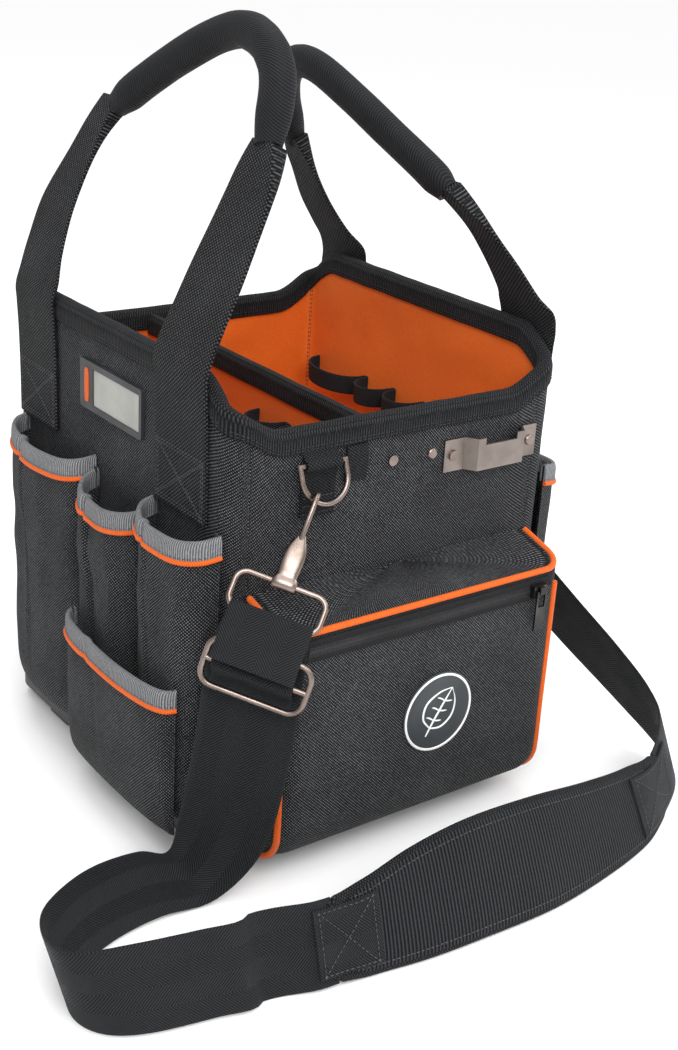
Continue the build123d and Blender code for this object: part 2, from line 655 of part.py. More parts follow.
SLIDER_MID = Vector(-121.0, -167.0, 151.0)
SLIDER_ACROSS = Vector(39, -40, -15).normalized()
SLIDER_UP = Vector(0.20, 0.02, 0.97)
slider_out = SLIDER_ACROSS.cross(SLIDER_UP).normalized()
with BuildPart() as adjuster:
    slider_plane = Plane(origin=SLIDER_MID + slider_out * 5.2, x_dir=SLIDER_ACROSS, z_dir=slider_out)
    with BuildLine(slider_plane) as frame_path:
        FilletPolyline((0, 15), (31, 15), (31, -15), (-31, -15), (-31, 15), (-1, 15), radius=9)
        Line((-1, 15), (0, 15))
    with BuildSketch(Plane(origin=slider_plane.from_local_coords((0, 15, 0)), z_dir=SLIDER_ACROSS)):
        Circle(WIRE)
    sweep(path=frame_path.wire())
    bar_start = slider_plane.from_local_coords((-31, 0, 0))
    with BuildSketch(Plane(origin=bar_start, z_dir=SLIDER_ACROSS)):
        Circle(WIRE)
    extrude(amount=62)
save(adjuster, "strap_adjuster")
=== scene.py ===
from math import cos, e, pi, radians, sin, sqrt

import bmesh
import bpy
from mathutils import Matrix, Vector, noise


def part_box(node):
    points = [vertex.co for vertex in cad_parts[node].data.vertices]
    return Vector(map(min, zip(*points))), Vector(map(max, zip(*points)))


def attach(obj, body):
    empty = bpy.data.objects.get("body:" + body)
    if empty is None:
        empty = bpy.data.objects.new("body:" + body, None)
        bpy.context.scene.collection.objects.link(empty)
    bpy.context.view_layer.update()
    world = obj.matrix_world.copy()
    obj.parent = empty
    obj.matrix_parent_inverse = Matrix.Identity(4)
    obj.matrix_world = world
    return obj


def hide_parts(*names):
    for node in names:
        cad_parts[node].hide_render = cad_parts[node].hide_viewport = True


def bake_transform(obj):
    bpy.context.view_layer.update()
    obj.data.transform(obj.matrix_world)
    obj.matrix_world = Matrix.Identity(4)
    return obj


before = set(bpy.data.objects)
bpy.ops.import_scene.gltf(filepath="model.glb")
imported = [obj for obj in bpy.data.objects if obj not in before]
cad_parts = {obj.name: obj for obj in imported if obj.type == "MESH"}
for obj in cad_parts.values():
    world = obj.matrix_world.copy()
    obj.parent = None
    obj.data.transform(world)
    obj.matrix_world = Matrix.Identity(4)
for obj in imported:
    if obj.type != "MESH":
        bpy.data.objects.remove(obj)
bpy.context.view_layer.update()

# ---- Camera, floor and light --------------------------------------------------------
# The bag stands on a plain pale sweep under large soft lamps, and the camera looks down
# on its front left corner from about a metre away.
MM = 0.001
VIEW_TURN = radians(-37.552)
VIEW_RISE = radians(22.606)
VIEW_ROLL = radians(3.593)
VIEW_AWAY = 1069.155
VIEW_RIGHT = 47.121
VIEW_UP = 8.513
LENS = 52.89

toward = Vector((sin(VIEW_TURN) * cos(VIEW_RISE), -cos(VIEW_TURN) * cos(VIEW_RISE), sin(VIEW_RISE)))
level = Vector((cos(VIEW_TURN), sin(VIEW_TURN), 0))
upright = toward.cross(level)
view_right = level * cos(VIEW_ROLL) + upright * sin(VIEW_ROLL)
view_up = upright * cos(VIEW_ROLL) - level * sin(VIEW_ROLL)
aim = Vector((0, 0, 150)) + level * VIEW_RIGHT + upright * VIEW_UP
camera = bpy.data.objects.new("Camera", bpy.data.cameras.new("Camera"))
bpy.context.scene.collection.objects.link(camera)
camera.data.lens = LENS
camera.data.sensor_width = 36.0
camera.data.sensor_fit = "AUTO"
camera.location = (aim + toward * VIEW_AWAY) * MM
camera.rotation_euler = Matrix((view_right, view_up, toward)).transposed().to_euler()
bpy.context.scene.camera = camera


def link(name, mesh, material=None):
    """An object at the origin for a finished mesh, with its finish and smooth shading."""
    piece = bpy.data.objects.new(name, mesh)
    bpy.context.scene.collection.objects.link(piece)
    if material:
        mesh.materials.clear()
        mesh.materials.append(material)
    if mesh.polygons:
        mesh.shade_smooth()
        mesh.set_sharp_from_angle(angle=radians(42))
    return piece


def finish(name):
    """A new material with its node tree and shader, ready for a section to build on."""
    material = bpy.data.materials.new(name)
    material.use_nodes = True
    return material, material.node_tree, material.node_tree.nodes["Principled BSDF"]


floor_paint, tree, shader = finish("floor paint")
shader.inputs["Base Color"].default_value = (0.93, 0.93, 0.93, 1)
shader.inputs["Roughness"].default_value = 0.75
floor_mesh = bpy.data.meshes.new("floor")
FLOOR_HALF = 20.0
FLOOR_Z = -0.0015
floor_mesh.from_pydata([(-FLOOR_HALF, -FLOOR_HALF, FLOOR_Z), (FLOOR_HALF, -FLOOR_HALF, FLOOR_Z),
                        (FLOOR_HALF, FLOOR_HALF, FLOOR_Z), (-FLOOR_HALF, FLOOR_HALF, FLOOR_Z)],
                       [], [(0, 1, 2, 3)])
link("floor", floor_mesh, floor_paint)

world = bpy.data.worlds.new("studio")
world.use_nodes = True
world.node_tree.nodes["Background"].inputs["Color"].default_value = (1, 1, 1, 1)
world.node_tree.nodes["Background"].inputs["Strength"].default_value = 0.62
bpy.context.scene.world = world
bpy.context.scene.view_settings.view_transform = "Standard"
for lamp_name, lamp_kind, spot, size, power in (
        ("wide lamp", "SUN", (-0.5, -1.2, 2.2), radians(70), 1.7),
        ("front lamp", "AREA", (-0.7, -1.5, 1.5), 1.1, 22), ("side lamp", "AREA", (1.5, -0.9, 1.2), 0.9, 12),
        ("top lamp", "AREA", (0.1, 0.3, 1.9), 1.2, 12)):
    lamp_data = bpy.data.lights.new(lamp_name, lamp_kind)
    if lamp_kind == "SUN":
        lamp_data.angle = size
    else:
        lamp_data.size = size
    lamp_data.energy = power
    lamp = bpy.data.objects.new(lamp_name, lamp_data)
    lamp.location = spot
    lamp.rotation_euler = (Vector(spot) - Vector((0, 0, 0.2))).to_track_quat("Z", "Y").to_euler()
    bpy.context.scene.collection.objects.link(lamp)

# ---- Moulded base and floor board ---------------------------------------------------
# A black polypropylene tray with lugs for feet, moulded in one and stitched round the
# bottom of the bag, and a stiff grey board that lies inside it.


def math_node(tree, operation, first, second=None, third=None):
    """A Math node whose inputs are numbers or sockets, and its result."""
    node = tree.nodes.new("ShaderNodeMath")
    node.operation = operation
    for slot, value in enumerate((first, second, third)):
        if value is None:
            continue
        if isinstance(value, (int, float)):
            node.inputs[slot].default_value = value
        else:
            tree.links.new(value, node.inputs[slot])
    return node.outputs[0]


def grain(tree, scale, detail=3.0):
    """Noise on the object's own coordinates, scale in lumps per metre."""
    place = tree.nodes.new("ShaderNodeTexCoord").outputs["Object"]
    lumps = tree.nodes.new("ShaderNodeTexNoise")
    lumps.inputs["Scale"].default_value = scale
    lumps.inputs["Detail"].default_value = detail
    tree.links.new(place, lumps.inputs["Vector"])
    return lumps.outputs["Fac"]


def spread(tree, factor, low, high, dark, light):
    """A colour between dark and light as factor goes from low to high."""
    ramp = tree.nodes.new("ShaderNodeValToRGB")
    ramp.color_ramp.elements[0].position = low
    ramp.color_ramp.elements[1].position = high
    ramp.color_ramp.elements[0].color = (*dark, 1)
    ramp.color_ramp.elements[1].color = (*light, 1)
    tree.links.new(factor, ramp.inputs["Fac"])
    return ramp.outputs["Color"]


def relief(tree, shader, height, depth, strength=1.0):
    """Bump from a height between 0 and 1, depth metres high."""
    bump = tree.nodes.new("ShaderNodeBump")
    bump.inputs["Strength"].default_value = strength
    bump.inputs["Distance"].default_value = depth
    tree.links.new(height, bump.inputs["Height"])
    tree.links.new(bump.outputs["Normal"], shader.inputs["Normal"])


def roughness_from(tree, shader, factor, low, high):
    """Roughness that follows factor from low to high."""
    rough = math_node(tree, "MULTIPLY_ADD", factor, high - low, low)
    tree.links.new(rough, shader.inputs["Roughness"])


def moulded(name, dark, light, low_rough, high_rough, grain_scale, grain_depth):
    """Moulded plastic or rubber: cloudy colour, fine pebble grain and scuffs."""
    material, tree, shader = finish(name)
    clouds = grain(tree, 30)
    tree.links.new(spread(tree, clouds, 0.35, 0.7, dark, light), shader.inputs["Base Color"])
    roughness_from(tree, shader, grain(tree, 90), low_rough, high_rough)
    relief(tree, shader, grain(tree, grain_scale, 2), grain_depth)
    return material


def dress(material, *nodes):
    """Give CAD pieces their finish."""
    for node in nodes:
        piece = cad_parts[node]
        piece.data.materials.clear()
        piece.data.materials.append(material)


tray_plastic = moulded("tray plastic", (0.012, 0.012, 0.013), (0.026, 0.026, 0.028), 0.35, 0.6, 1500, 0.0002)
board_grey = moulded("board grey", (0.05, 0.05, 0.05), (0.09, 0.09, 0.09), 0.7, 0.9, 900, 0.0002)
dress(tray_plastic, "base_tray", "base_feet")
dress(board_grey, "floor_board")

# ---- Outer walls --------------------------------------------------------------------
# Four panels of heavy ballistic nylon over foam and board, lofted round the bag's
# rounded corners with a soft sag, and joined near them by seams sewn in three rows.
HALF_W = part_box("left_panel")[0].x / -MM
HALF_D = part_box("left_panel")[0].y / -MM
CORNER = 14.0
QUARTER = CORNER * pi / 2
FRONT_RUN = 2 * (HALF_W - CORNER)
SIDE_RUN = 2 * (HALF_D - CORNER)
AROUND = 2 * (FRONT_RUN + SIDE_RUN) + 4 * QUARTER
SEAM = 109.0
RIM_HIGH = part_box("rim_binding")[1].z / MM
RIM_MID = 297.0
RIM_LOW = 281.0
WALL_FOOT = 24.0
WALL_THICK = 4.6
WALL_LEVELS = 48


def wall_point(s, out=0.0):
    """Point and outward direction on the body's outline, s along it from the front's middle."""
    s = (s + FRONT_RUN / 2) % AROUND
    corners = ((-1, -1), (1, -1), (1, 1), (-1, 1))
    for number, run in enumerate((FRONT_RUN, SIDE_RUN, FRONT_RUN, SIDE_RUN)):
        heading = number * pi / 2
        last = corners[number]
        here = corners[(number + 1) % 4]
        if s < run:
            along = Vector((cos(heading), sin(heading), 0))
            away = Vector((sin(heading), -cos(heading), 0))
            start = Vector((last[0] * (HALF_W - CORNER), last[1] * (HALF_D - CORNER), 0))
            return start + along * s + away * (CORNER + out), away
        s -= run
        if s < QUARTER:
            turn = heading + s / CORNER
            away = Vector((sin(turn), -cos(turn), 0))
            centre = Vector((here[0] * (HALF_W - CORNER), here[1] * (HALF_D - CORNER), 0))
            return centre + away * (CORNER + out), away
        s -= QUARTER
    return wall_point(0, out)


def ease(t):
    """Smooth step from 0 to 1."""
    t = max(0.0, min(1.0, t))
    return t * t * (3 - 2 * t)


def rim_at(point):
    """Height of the rim over a point: high on the sides, dipping along front and back."""
    side_drop = ease((abs(point.y) - 100) / (HALF_D - 100)) * (RIM_HIGH - RIM_MID)
    dip = 0.0
    if abs(point.y) > HALF_D - CORNER:
        dip = ease((HALF_W - abs(point.x)) / (HALF_W - 86)) * (RIM_MID - RIM_LOW)
    return RIM_HIGH - side_drop - dip


def soft(s, z, seed, size=60.0):
    """Gentle hills and hollows over a cloth, between about -1 and 1."""
    return noise.noise(Vector((s / size, z / size, seed)))


def cloth_mesh(name, verts, faces, spots):
    """A mesh whose UV holds the cloth's own width and length, in millimetres, at each face corner."""
    mesh = bpy.data.meshes.new(name)
    mesh.from_pydata(verts, [], faces)
    uv = mesh.uv_layers.new(name="cloth")
    uv.data.foreach_set("uv", [value for spot in spots for value in spot])
    return mesh


def cloth_sheet(name, rows, material, thick, wrap=False, inward=False, close_end=False):
    """Cloth through rows of points in millimetres, its UV the cloth's own size in millimetres."""
    wide = len(rows[0])
    verts = [point * MM for row in rows for point in row]
    middle = rows[len(rows) // 2]
    across = [0.0]
    for before, after in zip(middle, middle[1:] + middle[:1]):
        across.append(across[-1] + (after - before).length)
    along = [0.0]
    column = wide // 2
    for before, after in zip(rows, rows[1:]):
        along.append(along[-1] + (after[column] - before[column]).length)
    faces = []
    spots = []
    for i in range(len(rows) - 1):
        for j in range(wide if wrap else wide - 1):
            k = (j + 1) % wide
            here, above = i * wide, (i + 1) * wide
            ring = [(here + j, across[j], along[i]), (here + k, across[j + 1], along[i]),
                    (above + k, across[j + 1], along[i + 1]), (above + j, across[j], along[i + 1])]
            if inward:
                ring.reverse()
            faces.append([corner[0] for corner in ring])
            spots += [(corner[1], corner[2]) for corner in ring]
    if close_end:
        verts.append(sum(rows[-1], Vector()) / wide * MM)
        for j in range(wide):
            k = (j + 1) % wide
            last_row = (len(rows) - 1) * wide
            ring = [(len(verts) - 1, across[j], along[-1]), (last_row + j, across[j], along[-1]),
                    (last_row + k, across[j + 1], along[-1])]
            if not inward:
                ring.reverse()
            faces.append([corner[0] for corner in ring])
            spots += [(corner[1], corner[2]) for corner in ring]
    piece = link(name, cloth_mesh(name, verts, faces, spots), material)
    if thick:
        wall = piece.modifiers.new("thick", "SOLIDIFY")
        wall.thickness = thick * MM
        wall.offset = -1.0
        wall.use_quality_normals = True
        settle(piece)
    return piece


def settle(piece):
    """Bake a piece's modifiers into its mesh."""
    bpy.context.view_layer.update()
    ready = piece.evaluated_get(bpy.context.evaluated_depsgraph_get())
    mesh = bpy.data.meshes.new_from_object(ready)
    piece.modifiers.clear()
    piece.data = mesh
    mesh.shade_smooth()
    mesh.set_sharp_from_angle(angle=radians(42))
    return piece


def weave_coordinates(tree):
    """The cloth's own width and length at a point, in millimetres."""
    uv = tree.nodes.new("ShaderNodeUVMap")
    uv.uv_map = "cloth"
    parts = tree.nodes.new("ShaderNodeSeparateXYZ")
    tree.links.new(uv.outputs["UV"], parts.inputs[0])
    return parts.outputs["X"], parts.outputs["Y"]


def wave(tree, distance, pitch):
    """Sine of a distance with that pitch."""
    return math_node(tree, "SINE", math_node(tree, "MULTIPLY", distance, 2 * pi / pitch))


def crossings(tree, across, along, pitch_across, pitch_along):
    """Staggered thread crossings, from 0 between threads to 1 on a crossing."""
    both = math_node(tree, "MULTIPLY", wave(tree, across, pitch_across), wave(tree, along, pitch_along))
    return math_node(tree, "MULTIPLY_ADD", both, 0.5, 0.5)


def diagonals(tree, across, along, pitch, band=None):
    """Twill lines, turning back on themselves every band to make a herringbone."""
    if band:
        across = math_node(tree, "PINGPONG", across, band)
    return math_node(tree, "MULTIPLY_ADD", wave(tree, math_node(tree, "ADD", across, along), pitch), 0.5, 0.5)


def woven(name, pattern, ground, thread, low, high, depth, rough=(0.65, 0.9), sheen=0.02, slub=0.25):
    """Cloth material: thread colour over ground where the pattern rises, with slubs and dust."""
    material, tree, shader = finish(name)
    across, along = weave_coordinates(tree)
    height = pattern(tree, across, along)
    patches = math_node(tree, "SUBTRACT", grain(tree, 26), 0.5)
    patchy = math_node(tree, "MULTIPLY_ADD", patches, slub, height)
    fibres = math_node(tree, "SUBTRACT", grain(tree, 700, 1), 0.5)
    fuzzy = math_node(tree, "MULTIPLY_ADD", fibres, slub * 2, patchy)
    tree.links.new(spread(tree, fuzzy, low, high, ground, thread), shader.inputs["Base Color"])
    roughness_from(tree, shader, grain(tree, 60), *rough)
    shader.inputs["Sheen Weight"].default_value = sheen
    shader.inputs["Sheen Roughness"].default_value = 0.5
    shader.inputs["Specular IOR Level"].default_value = 0.14
    relief(tree, shader, fuzzy, depth)
    return material


body_cloth = woven("body cloth", lambda tree, u, v: crossings(tree, u, v, 2.1, 2.1),
                   (0.0025, 0.0028, 0.0035), (0.17, 0.175, 0.185), 0.55, 0.99, 0.0008)

STITCH_GROUP = bpy.data.node_groups.new("sewn stitches", "GeometryNodeTree")
STITCH_GROUP.interface.new_socket("Geometry", in_out="INPUT", socket_type="NodeSocketGeometry")
STITCH_GROUP.interface.new_socket("Geometry", in_out="OUTPUT", socket_type="NodeSocketGeometry")
stitch_sockets = {}
for socket_name, start_value in (("Stitch Pitch", 0.0035), ("Stitch Length", 0.0024),
                                 ("Thread Radius", 0.0003)):
    stitch_socket = STITCH_GROUP.interface.new_socket(socket_name, in_out="INPUT",
                                                      socket_type="NodeSocketFloat")
    stitch_socket.default_value = start_value
    stitch_sockets[socket_name] = stitch_socket.identifier
thread_socket = STITCH_GROUP.interface.new_socket("Thread", in_out="INPUT", socket_type="NodeSocketMaterial")
stitch_sockets["Thread"] = thread_socket.identifier
stitch_nodes = STITCH_GROUP.nodes
stitch_links = STITCH_GROUP.links
stitch_in = stitch_nodes.new("NodeGroupInput")
stitch_out = stitch_nodes.new("NodeGroupOutput")
spaced = stitch_nodes.new("GeometryNodeResampleCurve")
spaced.mode = "LENGTH"
bead = stitch_nodes.new("GeometryNodeMeshUVSphere")
bead.inputs["Segments"].default_value = 6
bead.inputs["Rings"].default_value = 4
shaped = stitch_nodes.new("GeometryNodeTransform")
stitch_size = stitch_nodes.new("ShaderNodeCombineXYZ")
half_length = stitch_nodes.new("ShaderNodeMath")
half_length.operation = "MULTIPLY"
half_length.inputs[1].default_value = 0.5
placed = stitch_nodes.new("GeometryNodeInstanceOnPoints")
turned = stitch_nodes.new("FunctionNodeAlignRotationToVector")
turned.axis = "Z"
heading_node = stitch_nodes.new("GeometryNodeInputTangent")
real = stitch_nodes.new("GeometryNodeRealizeInstances")
coated = stitch_nodes.new("GeometryNodeSetMaterial")
for source, target in (
        (stitch_in.outputs["Geometry"], spaced.inputs["Curve"]),
        (stitch_in.outputs["Stitch Pitch"], spaced.inputs["Length"]),
        (stitch_in.outputs["Stitch Length"], half_length.inputs[0]),
        (stitch_in.outputs["Thread Radius"], stitch_size.inputs["X"]),
        (stitch_in.outputs["Thread Radius"], stitch_size.inputs["Y"]),
        (half_length.outputs[0], stitch_size.inputs["Z"]),
        (bead.outputs["Mesh"], shaped.inputs["Geometry"]),
        (stitch_size.outputs["Vector"], shaped.inputs["Scale"]),
        (spaced.outputs["Curve"], placed.inputs["Points"]),
        (shaped.outputs["Geometry"], placed.inputs["Instance"]),
        (heading_node.outputs["Tangent"], turned.inputs["Vector"]),
        (turned.outputs["Rotation"], placed.inputs["Rotation"]),
        (placed.outputs["Instances"], real.inputs["Geometry"]),
        (real.outputs["Geometry"], coated.inputs["Geometry"]),
        (stitch_in.outputs["Thread"], coated.inputs["Material"]),
        (coated.outputs["Geometry"], stitch_out.inputs["Geometry"])):
    stitch_links.new(source, target)


def line_curve(name, lines, closed=False):
    """A curve object of straight-segment lines, each a list of points in millimetres."""
    curve = bpy.data.curves.new(name, "CURVE")
    curve.dimensions = "3D"
    for line in lines:
        spline = curve.splines.new("POLY")
        spline.points.add(len(line) - 1)
        for knot, point in zip(spline.points, line):
            knot.co = (*(point * MM), 1)
        spline.use_cyclic_u = closed
    piece = bpy.data.objects.new(name, curve)
    bpy.context.scene.collection.objects.link(piece)
    return piece


def sew(name, lines, thread, pitch=3.5, length=2.5, radius=0.32):
    """Rows of stitches along lines in millimetres, as one plain mesh."""
    guide = line_curve(name + "_guide", lines)
    needle = guide.modifiers.new("stitches", "NODES")
    needle.node_group = STITCH_GROUP
    needle[stitch_sockets["Stitch Pitch"]] = pitch * MM
    needle[stitch_sockets["Stitch Length"]] = length * MM
    needle[stitch_sockets["Thread Radius"]] = radius * MM
    needle[stitch_sockets["Thread"]] = thread
    bpy.context.view_layer.update()
    ready = guide.evaluated_get(bpy.context.evaluated_depsgraph_get())
    mesh = bpy.data.meshes.new_from_object(ready)
    bpy.data.objects.remove(guide)
    return link(name, mesh, thread)


def thread_finish(name, dark, light):
    """Twisted sewing thread with a slight shine."""
    material, tree, shader = finish(name)
    tree.links.new(spread(tree, grain(tree, 900, 1), 0.3, 0.7, dark, light), shader.inputs["Base Color"])
    roughness_from(tree, shader, grain(tree, 200), 0.45, 0.7)
    shader.inputs["Sheen Weight"].default_value = 0.04
    return material


black_thread = thread_finish("black thread", (0.006, 0.006, 0.007), (0.022, 0.022, 0.024))
dark_thread = thread_finish("dark thread", (0.018, 0.018, 0.02), (0.06, 0.06, 0.066))


def wall_out(s, z, top):
    """How far the padded wall stands off its outline: bulging a little, drawn in at seams."""
    up = (z - WALL_FOOT) / (top - WALL_FOOT)
    fade = ease(up * 5) * ease((1 - up) * 6)
    seams = (SEAM, AROUND / 2 - SEAM, AROUND / 2 + SEAM, AROUND - SEAM)
    pull = sum(e ** (-(((s - seam + AROUND / 2) % AROUND - AROUND / 2) / 3.0) ** 2) for seam in seams)
    return fade * (0.9 * soft(s, z, 3.1, 55) + 0.5 * soft(s, z, 8.7, 21) - 0.2) - 0.9 * pull


WALLS = {
    "front_panel": (-SEAM, SEAM), "right_panel": (SEAM, AROUND / 2 - SEAM),
    "back_panel": (AROUND / 2 - SEAM, AROUND / 2 + SEAM), "left_panel": (AROUND / 2 + SEAM, AROUND - SEAM),
}
for wall_name, (s_start, s_end) in WALLS.items():
    columns = int((s_end - s_start) / 4)
    rows = []
    for level_number in range(WALL_LEVELS + 1):
        row = []
        for column in range(columns + 1):
            s = s_start + (s_end - s_start) * column / columns
            top = rim_at(wall_point(s)[0]) - 1.6
            z = WALL_FOOT + (top - WALL_FOOT) * level_number / WALL_LEVELS
            row.append(wall_point(s, wall_out(s, z, top))[0] + Vector((0, 0, z)))
        rows.append(row)
    wall = cloth_sheet(wall_name.replace("panel", "wall"), rows, body_cloth, WALL_THICK)
    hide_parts(wall_name)
    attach(wall, "bag")

seam_lines = []
for seam in (SEAM, AROUND / 2 - SEAM, AROUND / 2 + SEAM, AROUND - SEAM):
    for aside in (-4.2, -1.6, 1.6):
        line = []
        for z in range(28, 278, 5):
            s = seam + aside
            line.append(wall_point(s, wall_out(s, z, 290) + 0.15)[0] + Vector((0, 0, z)))
        seam_lines.append(line)
wall_seams = sew("wall_seam_stitches", seam_lines, black_thread, 3.6, 2.7, 0.34)
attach(wall_seams, "bag")

# ---- Orange lining ------------------------------------------------------------------
# Bright coated nylon, cut as a tub and dropped inside the walls: fine twill, with soft
# creases that die away under the rim, and a seam up each corner.
LINING_IN = 6.3
LINING_FLOOR = 14.6
orange_cloth = woven("orange lining", lambda tree, u, v: diagonals(tree, u, v, 0.9),
                     (0.62, 0.10, 0.010), (0.80, 0.165, 0.020), 0.1, 0.9, 0.0001, (0.42, 0.62), 0.05, 0.5)


def lining_point(s, z, top):
    """A point on the lining's inner face, with creases that die away under the rim."""
    below = ease((top - z) / 30)
    fold = max(0.0, soft(s * 0.8 + z * 0.7, z * 0.6 - s * 0.4, 21.3, 38)) ** 1.4
    crease = 0.8 * soft(s, z, 5.9, 30) - 3.4 * fold + 0.3 * soft(s, z * 0.35, 8.8, 11)
    return wall_point(s, -LINING_IN - 0.9 + crease * below)[0] + Vector((0, 0, z))


lining_rows = []
LINING_COLUMNS = 200
LINING_LEVELS = 44
for level_number in range(LINING_LEVELS + 1):
    row = []
    for column in range(LINING_COLUMNS):
        s = AROUND * column / LINING_COLUMNS
        top = rim_at(wall_point(s)[0]) - 6.5
        z = top + (LINING_FLOOR + 8 - top) * level_number / LINING_LEVELS
        row.append(lining_point(s, z, top))
    lining_rows.append(row)
for shrink, z in ((0.985, LINING_FLOOR + 3), (0.955, LINING_FLOOR + 0.6), (0.9, LINING_FLOOR),
                  (0.75, LINING_FLOOR), (0.5, LINING_FLOOR), (0.25, LINING_FLOOR), (0.1, LINING_FLOOR)):
    lining_rows.append([Vector((point.x * shrink, point.y * shrink, z + 0.3 * soft(point.x, point.y, 2.2)))
                        for point in lining_rows[LINING_LEVELS]])
lining = cloth_sheet("lining_tub", lining_rows, orange_cloth, 1.1, wrap=True, close_end=True)
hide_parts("lining")
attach(lining, "bag")
corner_lines = []
for corner_number in range(4):
    s = FRONT_RUN / 2 + QUARTER / 2 + corner_number * QUARTER + (corner_number + 1) // 2 * SIDE_RUN
    s += corner_number // 2 * FRONT_RUN
    top = rim_at(wall_point(s)[0]) - 6.5
    for aside in (-1.2, 1.2):
        corner_lines.append([lining_point(s + aside, z, top) - wall_point(s)[1] * 0.1
                             for z in range(int(top) - 10, 30, -6)])
lining_seams = sew("lining_seam_stitches", corner_lines, black_thread, 3.2, 2.3, 0.3)
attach(lining_seams, "bag")

# ---- Rim binding --------------------------------------------------------------------
# Wide ribbed webbing folded over the top edge in one closed band, and sewn through with
# two rows of stitches on each face.


def swept(name, stations, section, material, closed=False):
    """A closed section swept through stations of centre, width, thickness, across and out."""
    ring = len(section)
    verts = []
    along = [0.0]
    for number, (centre, wide, thick, across, out) in enumerate(stations):
        if number:
            along.append(along[-1] + (centre - stations[number - 1][0]).length)
        verts += [(centre + across * (a * wide) + out * (b * thick)) * MM for a, b in section]
    if closed:
        along.append(along[-1] + (stations[0][0] - stations[-1][0]).length)
    faces = []
    spots = []
    count = len(stations)
    for i in range(count if closed else count - 1):
        following = (i + 1) % count
        for j in range(ring):
            k = (j + 1) % ring
            faces.append([i * ring + j, i * ring + k, following * ring + k, following * ring + j])
            spots += [(section[j][0] * stations[i][1], along[i]), (section[k][0] * stations[i][1], along[i]),
                      (section[k][0] * stations[following][1], along[i + 1]),
                      (section[j][0] * stations[following][1], along[i + 1])]
    if not closed:
        first = list(range(ring))
        last = [(count - 1) * ring + j for j in range(ring)]
        faces.append(first[::-1])
        spots += [(section[j][0] * stations[0][1], section[j][1] * stations[0][2]) for j in first[::-1]]
        faces.append(last)
        spots += [(section[j][0] * stations[-1][1], along[-1] + section[j][1] * stations[-1][2])
                  for j in range(ring)]
    mesh = cloth_mesh(name, verts, faces, spots)
    shell = bmesh.new()
    shell.from_mesh(mesh)
    bmesh.ops.recalc_face_normals(shell, faces=shell.faces)
    shell.to_mesh(mesh)
    shell.free()
    return link(name, mesh, material)


def flat_section(columns=12, edge=0.035):
    """Outline of webbing across its width and thickness, with rounded selvedges."""
    places = [-0.5, -0.5 + edge * 0.3, -0.5 + edge]
    places += [-0.5 + edge + (1 - 2 * edge) * n / columns for n in range(1, columns)]
    places += [0.5 - edge, 0.5 - edge * 0.3, 0.5]
    outline = []
    for a in places:
        inset = max(0.0, (abs(a) - (0.5 - edge)) / edge)
        outline.append((a, 0.5 * sqrt(max(0.05, 1 - inset ** 2))))
    return outline + [(a, -b) for a, b in reversed(outline)]


def round_section(sides=12):
    """A circle of unit diameter."""
    return [(0.5 * cos(2 * pi * n / sides), 0.5 * sin(2 * pi * n / sides)) for n in range(sides)]


rim_webbing = woven("rim webbing", lambda tree, u, v: crossings(tree, u, v, 2.6, 1.9),
                    (0.002, 0.0022, 0.0026), (0.034, 0.036, 0.04), 0.45, 0.95, 0.0006)


def rim_section():
    """The binding's folded outline: half thickness out, then height down from the rim."""
    outline = [(0.5, 0.0), (0.52, 0.35), (0.5, 0.62), (0.42, 0.83), (0.27, 0.96), (0.0, 1.0)]
    left = [(-a, b) for a, b in reversed(outline[:-1])]
    return outline + left


RIM_WIDE = 10.6
RIM_TALL = 15.0
rim_stations = []
RIM_COLUMNS = 260
for column in range(RIM_COLUMNS):
    s = AROUND * (column + 0.5) / RIM_COLUMNS
    point, away = wall_point(s, -RIM_WIDE / 2 + 1.7 + 0.25 * soft(s, 0, 4.4, 14))
    top = rim_at(wall_point(s)[0])
    base = Vector((point.x, point.y, top - RIM_TALL + 0.4 * soft(s, 0, 9.1, 18)))
    rim_stations.append((base, RIM_WIDE, RIM_TALL, away, Vector((0, 0, 1))))
rim_band = swept("rim_webbing_band", rim_stations, rim_section(), rim_webbing, closed=True)
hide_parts("rim_binding")
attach(rim_band, "bag")
rim_rows = []
RIM_STITCH_STEPS = 300
for drop in (11.6, 13.6):
    for face_out in (1.75, -9.0):
        row = []
        for n in range(RIM_STITCH_STEPS + 1):
            s = AROUND * n / RIM_STITCH_STEPS
            row.append(wall_point(s, face_out)[0] + Vector((0, 0, rim_at(wall_point(s)[0]) - drop)))
        rim_rows.append(row)
rim_stitches = sew("rim_stitches", rim_rows, black_thread, 3.4, 2.4, 0.3)
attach(rim_stitches, "bag")

# ---- Divider ------------------------------------------------------------------------
# A stiff board covered in the orange lining cloth that stands in the bag from front to
# back, its top edge bound in black webbing.
DIVIDER_LOW, DIVIDER_HIGH = (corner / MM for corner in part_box("divider"))
DIVIDER_X = (DIVIDER_LOW.x + DIVIDER_HIGH.x) / 2

divider_stations = []
for step in range(57):
    y = DIVIDER_LOW.y + (DIVIDER_HIGH.y - DIVIDER_LOW.y) * step / 56
    middle = Vector((DIVIDER_X, y, (DIVIDER_LOW.z + 1.7 + DIVIDER_HIGH.z - 1.5) / 2))
    tall = DIVIDER_HIGH.z - DIVIDER_LOW.z - 3.2
    divider_stations.append((middle, tall, 4.6, Vector((0, 0, 1)), Vector((1, 0, 0))))
divider = swept("divider_board", divider_stations, flat_section(40, 0.01), orange_cloth)
for vertex in divider.data.vertices:
    up = (vertex.co.z / MM - DIVIDER_LOW.z) / (DIVIDER_HIGH.z - DIVIDER_LOW.z)
    vertex.co.x += MM * 0.9 * up * soft(vertex.co.y / MM, vertex.co.z / MM, 14.2, 45)
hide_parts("divider")
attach(divider, "bag")

